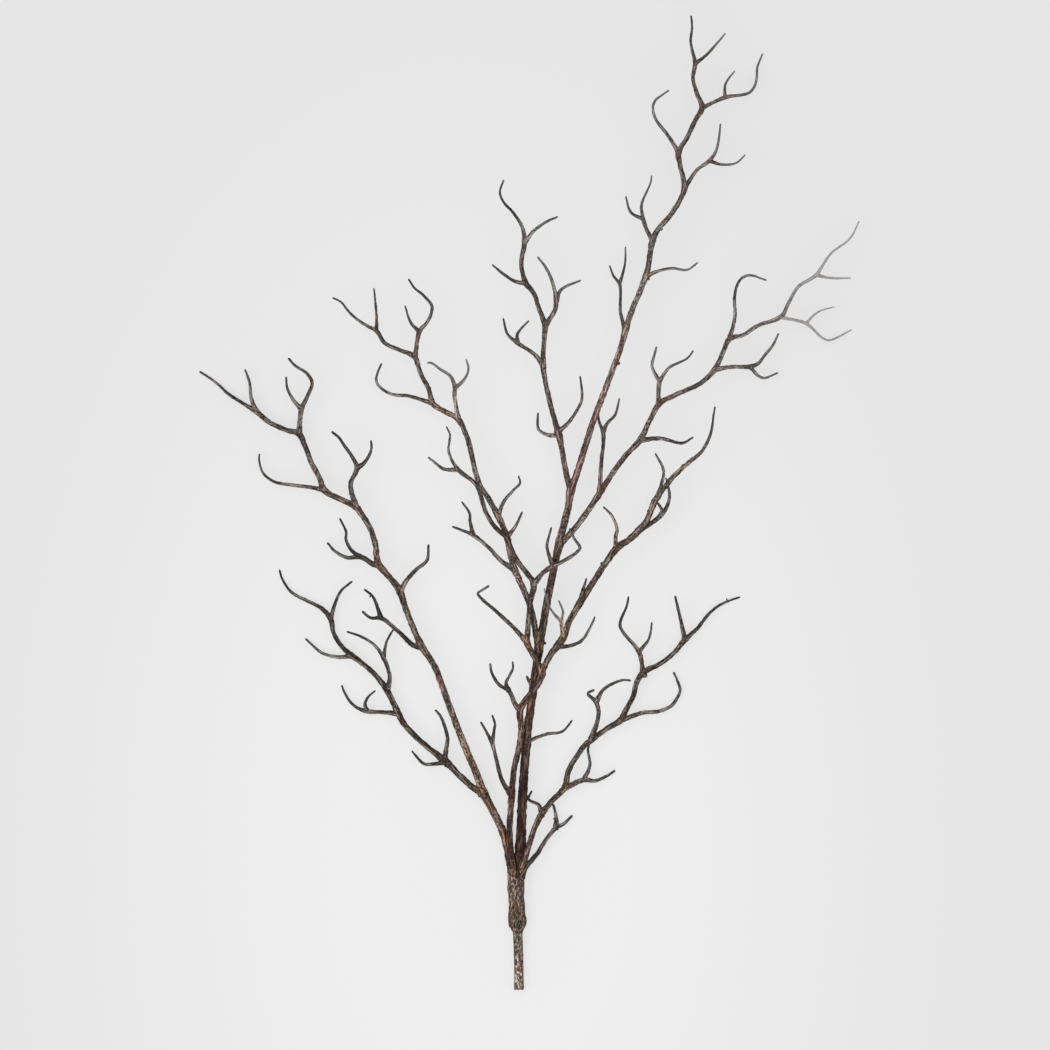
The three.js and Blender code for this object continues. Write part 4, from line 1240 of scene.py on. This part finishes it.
def growCollar():
    sleeve = makeStrand(curveOf(collar["sleeve"]), [1, 1], collar["sleeveStep"])
    at, width = np.array(collar["sleeveWidths"]).T
    sleeve["radius"] = np.interp(sleeve["points"][:, 1], at, width) / 2
    parts = [sleeve]
    for item in collar["lobes"] + collar["bumps"]:
        parts.append(makeStrand(curveOf(item["route"]), item["widths"], collar["ridgeStep"]))
        roundTip(parts[-1])
    piece = strandObject("collar_bark", parts)
    applyTree(piece, tubeTree, {"Sides": collar["sides"]})
    remesh = piece.modifiers.new("union", "REMESH")
    remesh.mode = "VOXEL"
    remesh.voxel_size = collar["voxel"] * place["metres"]
    ease = piece.modifiers.new("ease", "SMOOTH")
    ease.iterations = collar["smoothing"]
    settle(piece)
    mesh = piece.data
    for old in [item.name for item in mesh.attributes if not item.is_required and not item.is_internal]:
        mesh.attributes.remove(mesh.attributes[old])
    spots = np.zeros(len(mesh.vertices) * 3, np.float32)
    mesh.vertices.foreach_get("co", spots)
    spots = spots.reshape(-1, 3) / place["metres"] + [place["originX"], place["originY"], 0]
    axis = np.array(collar["sleeve"], float)
    coord = np.column_stack([spots[:, 0] - np.interp(spots[:, 1], axis[:, 1], axis[:, 0]),
                             spots[:, 2] - np.interp(spots[:, 1], axis[:, 1], axis[:, 2]), spots[:, 1]])
    mesh.attributes.new("barkCoord", "FLOAT_VECTOR", "POINT").data.foreach_set(
        "vector", coord.astype(np.float32).ravel())
    values = {"girth": np.full(len(spots), collar["girth"]), "cut": np.zeros(len(spots)),
              "stain": np.zeros(len(spots)), "gold": spotsAt(goldSpots, spots),
              "red": spotsAt(redSpots, spots), "tone": np.full(len(spots), 1.0),
              "deep": spotsAt(footShadeSpots, spots)}
    storeValues(mesh, values)
    applyTree(piece, reliefTree, dict(relief["collar"], Material=materials["collar_bark"]))
    settle(piece)
    finishPiece(piece, "collar")
    return len(piece.data.polygons)


faces += growCollar()
print("stem and collar:", faces, "faces")

# Bark that widens the feet of the limbs above the collar, so that they part in narrow notches.
webs = {
    "left_limb_lower": {
        "route": [(-8, 119, 14.5), (-10.4, 140, 16), (-15.4, 165, 15)],
        "widths": [6.6, 6, 2.4], "tone": 0.75,
    },
    "inner_limb_lower": {
        "route": [(-5, 119, 17), (-7.6, 143, 19.2), (-8.8, 168, 22)],
        "widths": [5.4, 4.4, 3], "tone": 0.6,
    },
    "main_limb_lower": {
        "route": [(-1.4, 119, 13), (-0.5, 140, 14.6), (1, 170, 17.5)],
        "widths": [8, 7.6, 5], "tone": 0.55,
    },
}
for web in webs.values():
    web["strand"] = makeStrand(curveOf(web["route"]), web["widths"], tube["limbStep"],
                               tones=[web["tone"]] * 2)
    roundTip(web["strand"])

# Limbs in their lengths, each with its own single twigs and knobs.
for name, limb in limbs.items():
    strand = strands[name]
    start = 0.0
    for section, stop in limb["sections"].items():
        node = f"{name}_{section}"
        end = strand["walk"][-1] if stop is None else strand["walk"][nearest(strand["points"], stop)]
        parts = [cutStrand(strand, start, end, start > 0, stop is not None)]
        parts += shootStrands.get(node, [])
        parts += [nub["strand"] for nub in nubs if nub["on"] == name and start <= nub["walk"] < end]
        if node in webs:
            parts.append(webs[node]["strand"])
        faces += growPiece(node, "limb_bark", parts, tube["limbSides"], relief["limb"])
        start = end
print("limbs grown:", faces, "faces so far")

for name, parts in sprayStrands.items():
    faces += growPiece(name, "twig_bark", parts, tube["twigSides"], relief["twig"])
print("sprays grown:", faces, "faces in all")

# A pale floor under soft, even light, seen from straight above, with a painted pool of light: paler in the
# middle, darker towards the edges.
studio = {
    "floorSize": 60.0,
    "floorColor": screen(137, 137, 137),
    "floorGlow": 0.62,       # keeps the shadows faint
    # A painted pool of light on the floor, paler in the middle and darker towards the edges:
    "paleMiddle": (-0.05, -0.34),
    "paleStretch": 1.7,      # how much longer than wide the pale middle is
    "paleFrom": 0.15,        # metres from the middle where the floor starts to darken
    "paleTo": 0.48,
    "edgeShade": 0.92,
    "worldStrength": 0.5,
    "sunStrength": 1.5,
    "sunAngle": 70.0,
    "sunTilt": (10.0, -12.0),
    "cameraX": -4.1,
    "cameraY": -22.1,
    "cameraHeight": 26.28,
    "lens": 900.0,
    "sensor": 36.0,
    "floorRoughness": 0.9,
}


def makeStudio():
    scene = bpy.context.scene
    scene.view_settings.view_transform = "Standard"
    half = studio["floorSize"] / 2
    mesh = bpy.data.meshes.new("floor")
    mesh.from_pydata([(-half, -half, 0), (half, -half, 0), (half, half, 0), (-half, half, 0)], [],
                     [(0, 1, 2, 3)])
    material = bpy.data.materials.new("floor_paint")
    material.use_nodes = True
    paint = material.node_tree.nodes["Principled BSDF"]
    tree = material.node_tree
    # Painted pool of light: the floor's colour and glow darken away from the pale middle.
    spot = addNode(tree, "ShaderNodeTexCoord").outputs["Object"]
    middle = (*studio["paleMiddle"], 0)
    away = addNode(tree, "ShaderNodeVectorMath", {0: spot, 1: middle}, operation="SUBTRACT").outputs[0]
    squash = (1.0, 1 / studio["paleStretch"], 1.0)
    away = addNode(tree, "ShaderNodeVectorMath", {0: away, 1: squash}, operation="MULTIPLY").outputs[0]
    away = addNode(tree, "ShaderNodeVectorMath", {0: away}, operation="LENGTH").outputs["Value"]
    shade = addNode(tree, "ShaderNodeMapRange",
                    {"Value": away, "From Min": studio["paleFrom"], "From Max": studio["paleTo"],
                     "To Min": 1.0, "To Max": studio["edgeShade"]})
    for label, color in (("Base Color", studio["floorColor"]), ("Emission Color", (1, 1, 1, 1))):
        tinted = addNode(tree, "ShaderNodeVectorMath", {0: color[:3], "Scale": shade.outputs["Result"]},
                         operation="SCALE")
        put(tree, paint.inputs[label], tinted.outputs["Vector"])
    paint.inputs["Emission Strength"].default_value = studio["floorGlow"]
    paint.inputs["Roughness"].default_value = studio["floorRoughness"]
    paint.inputs["Specular IOR Level"].default_value = 0.0
    mesh.materials.append(material)
    floor = bpy.data.objects.new("floor", mesh)
    scene.collection.objects.link(floor)

    world = bpy.data.worlds.new("studio")
    world.use_nodes = True
    sky = world.node_tree.nodes["Background"]
    sky.inputs["Color"].default_value = (1, 1, 1, 1)
    sky.inputs["Strength"].default_value = studio["worldStrength"]
    scene.world = world

    sun = bpy.data.lights.new("soft_sun", "SUN")
    sun.energy = studio["sunStrength"]
    sun.angle = math.radians(studio["sunAngle"])
    lamp = bpy.data.objects.new("soft_sun", sun)
    lamp.rotation_euler = [math.radians(turn) for turn in (*studio["sunTilt"], 0)]
    scene.collection.objects.link(lamp)

    eye = bpy.data.cameras.new("camera")
    eye.lens = studio["lens"]
    eye.sensor_width = studio["sensor"]
    camera = bpy.data.objects.new("camera", eye)
    camera.location = (studio["cameraX"] * place["metres"], studio["cameraY"] * place["metres"],
                       studio["cameraHeight"])
    scene.collection.objects.link(camera)
    scene.camera = camera


makeStudio()
print("floor, light and camera made")
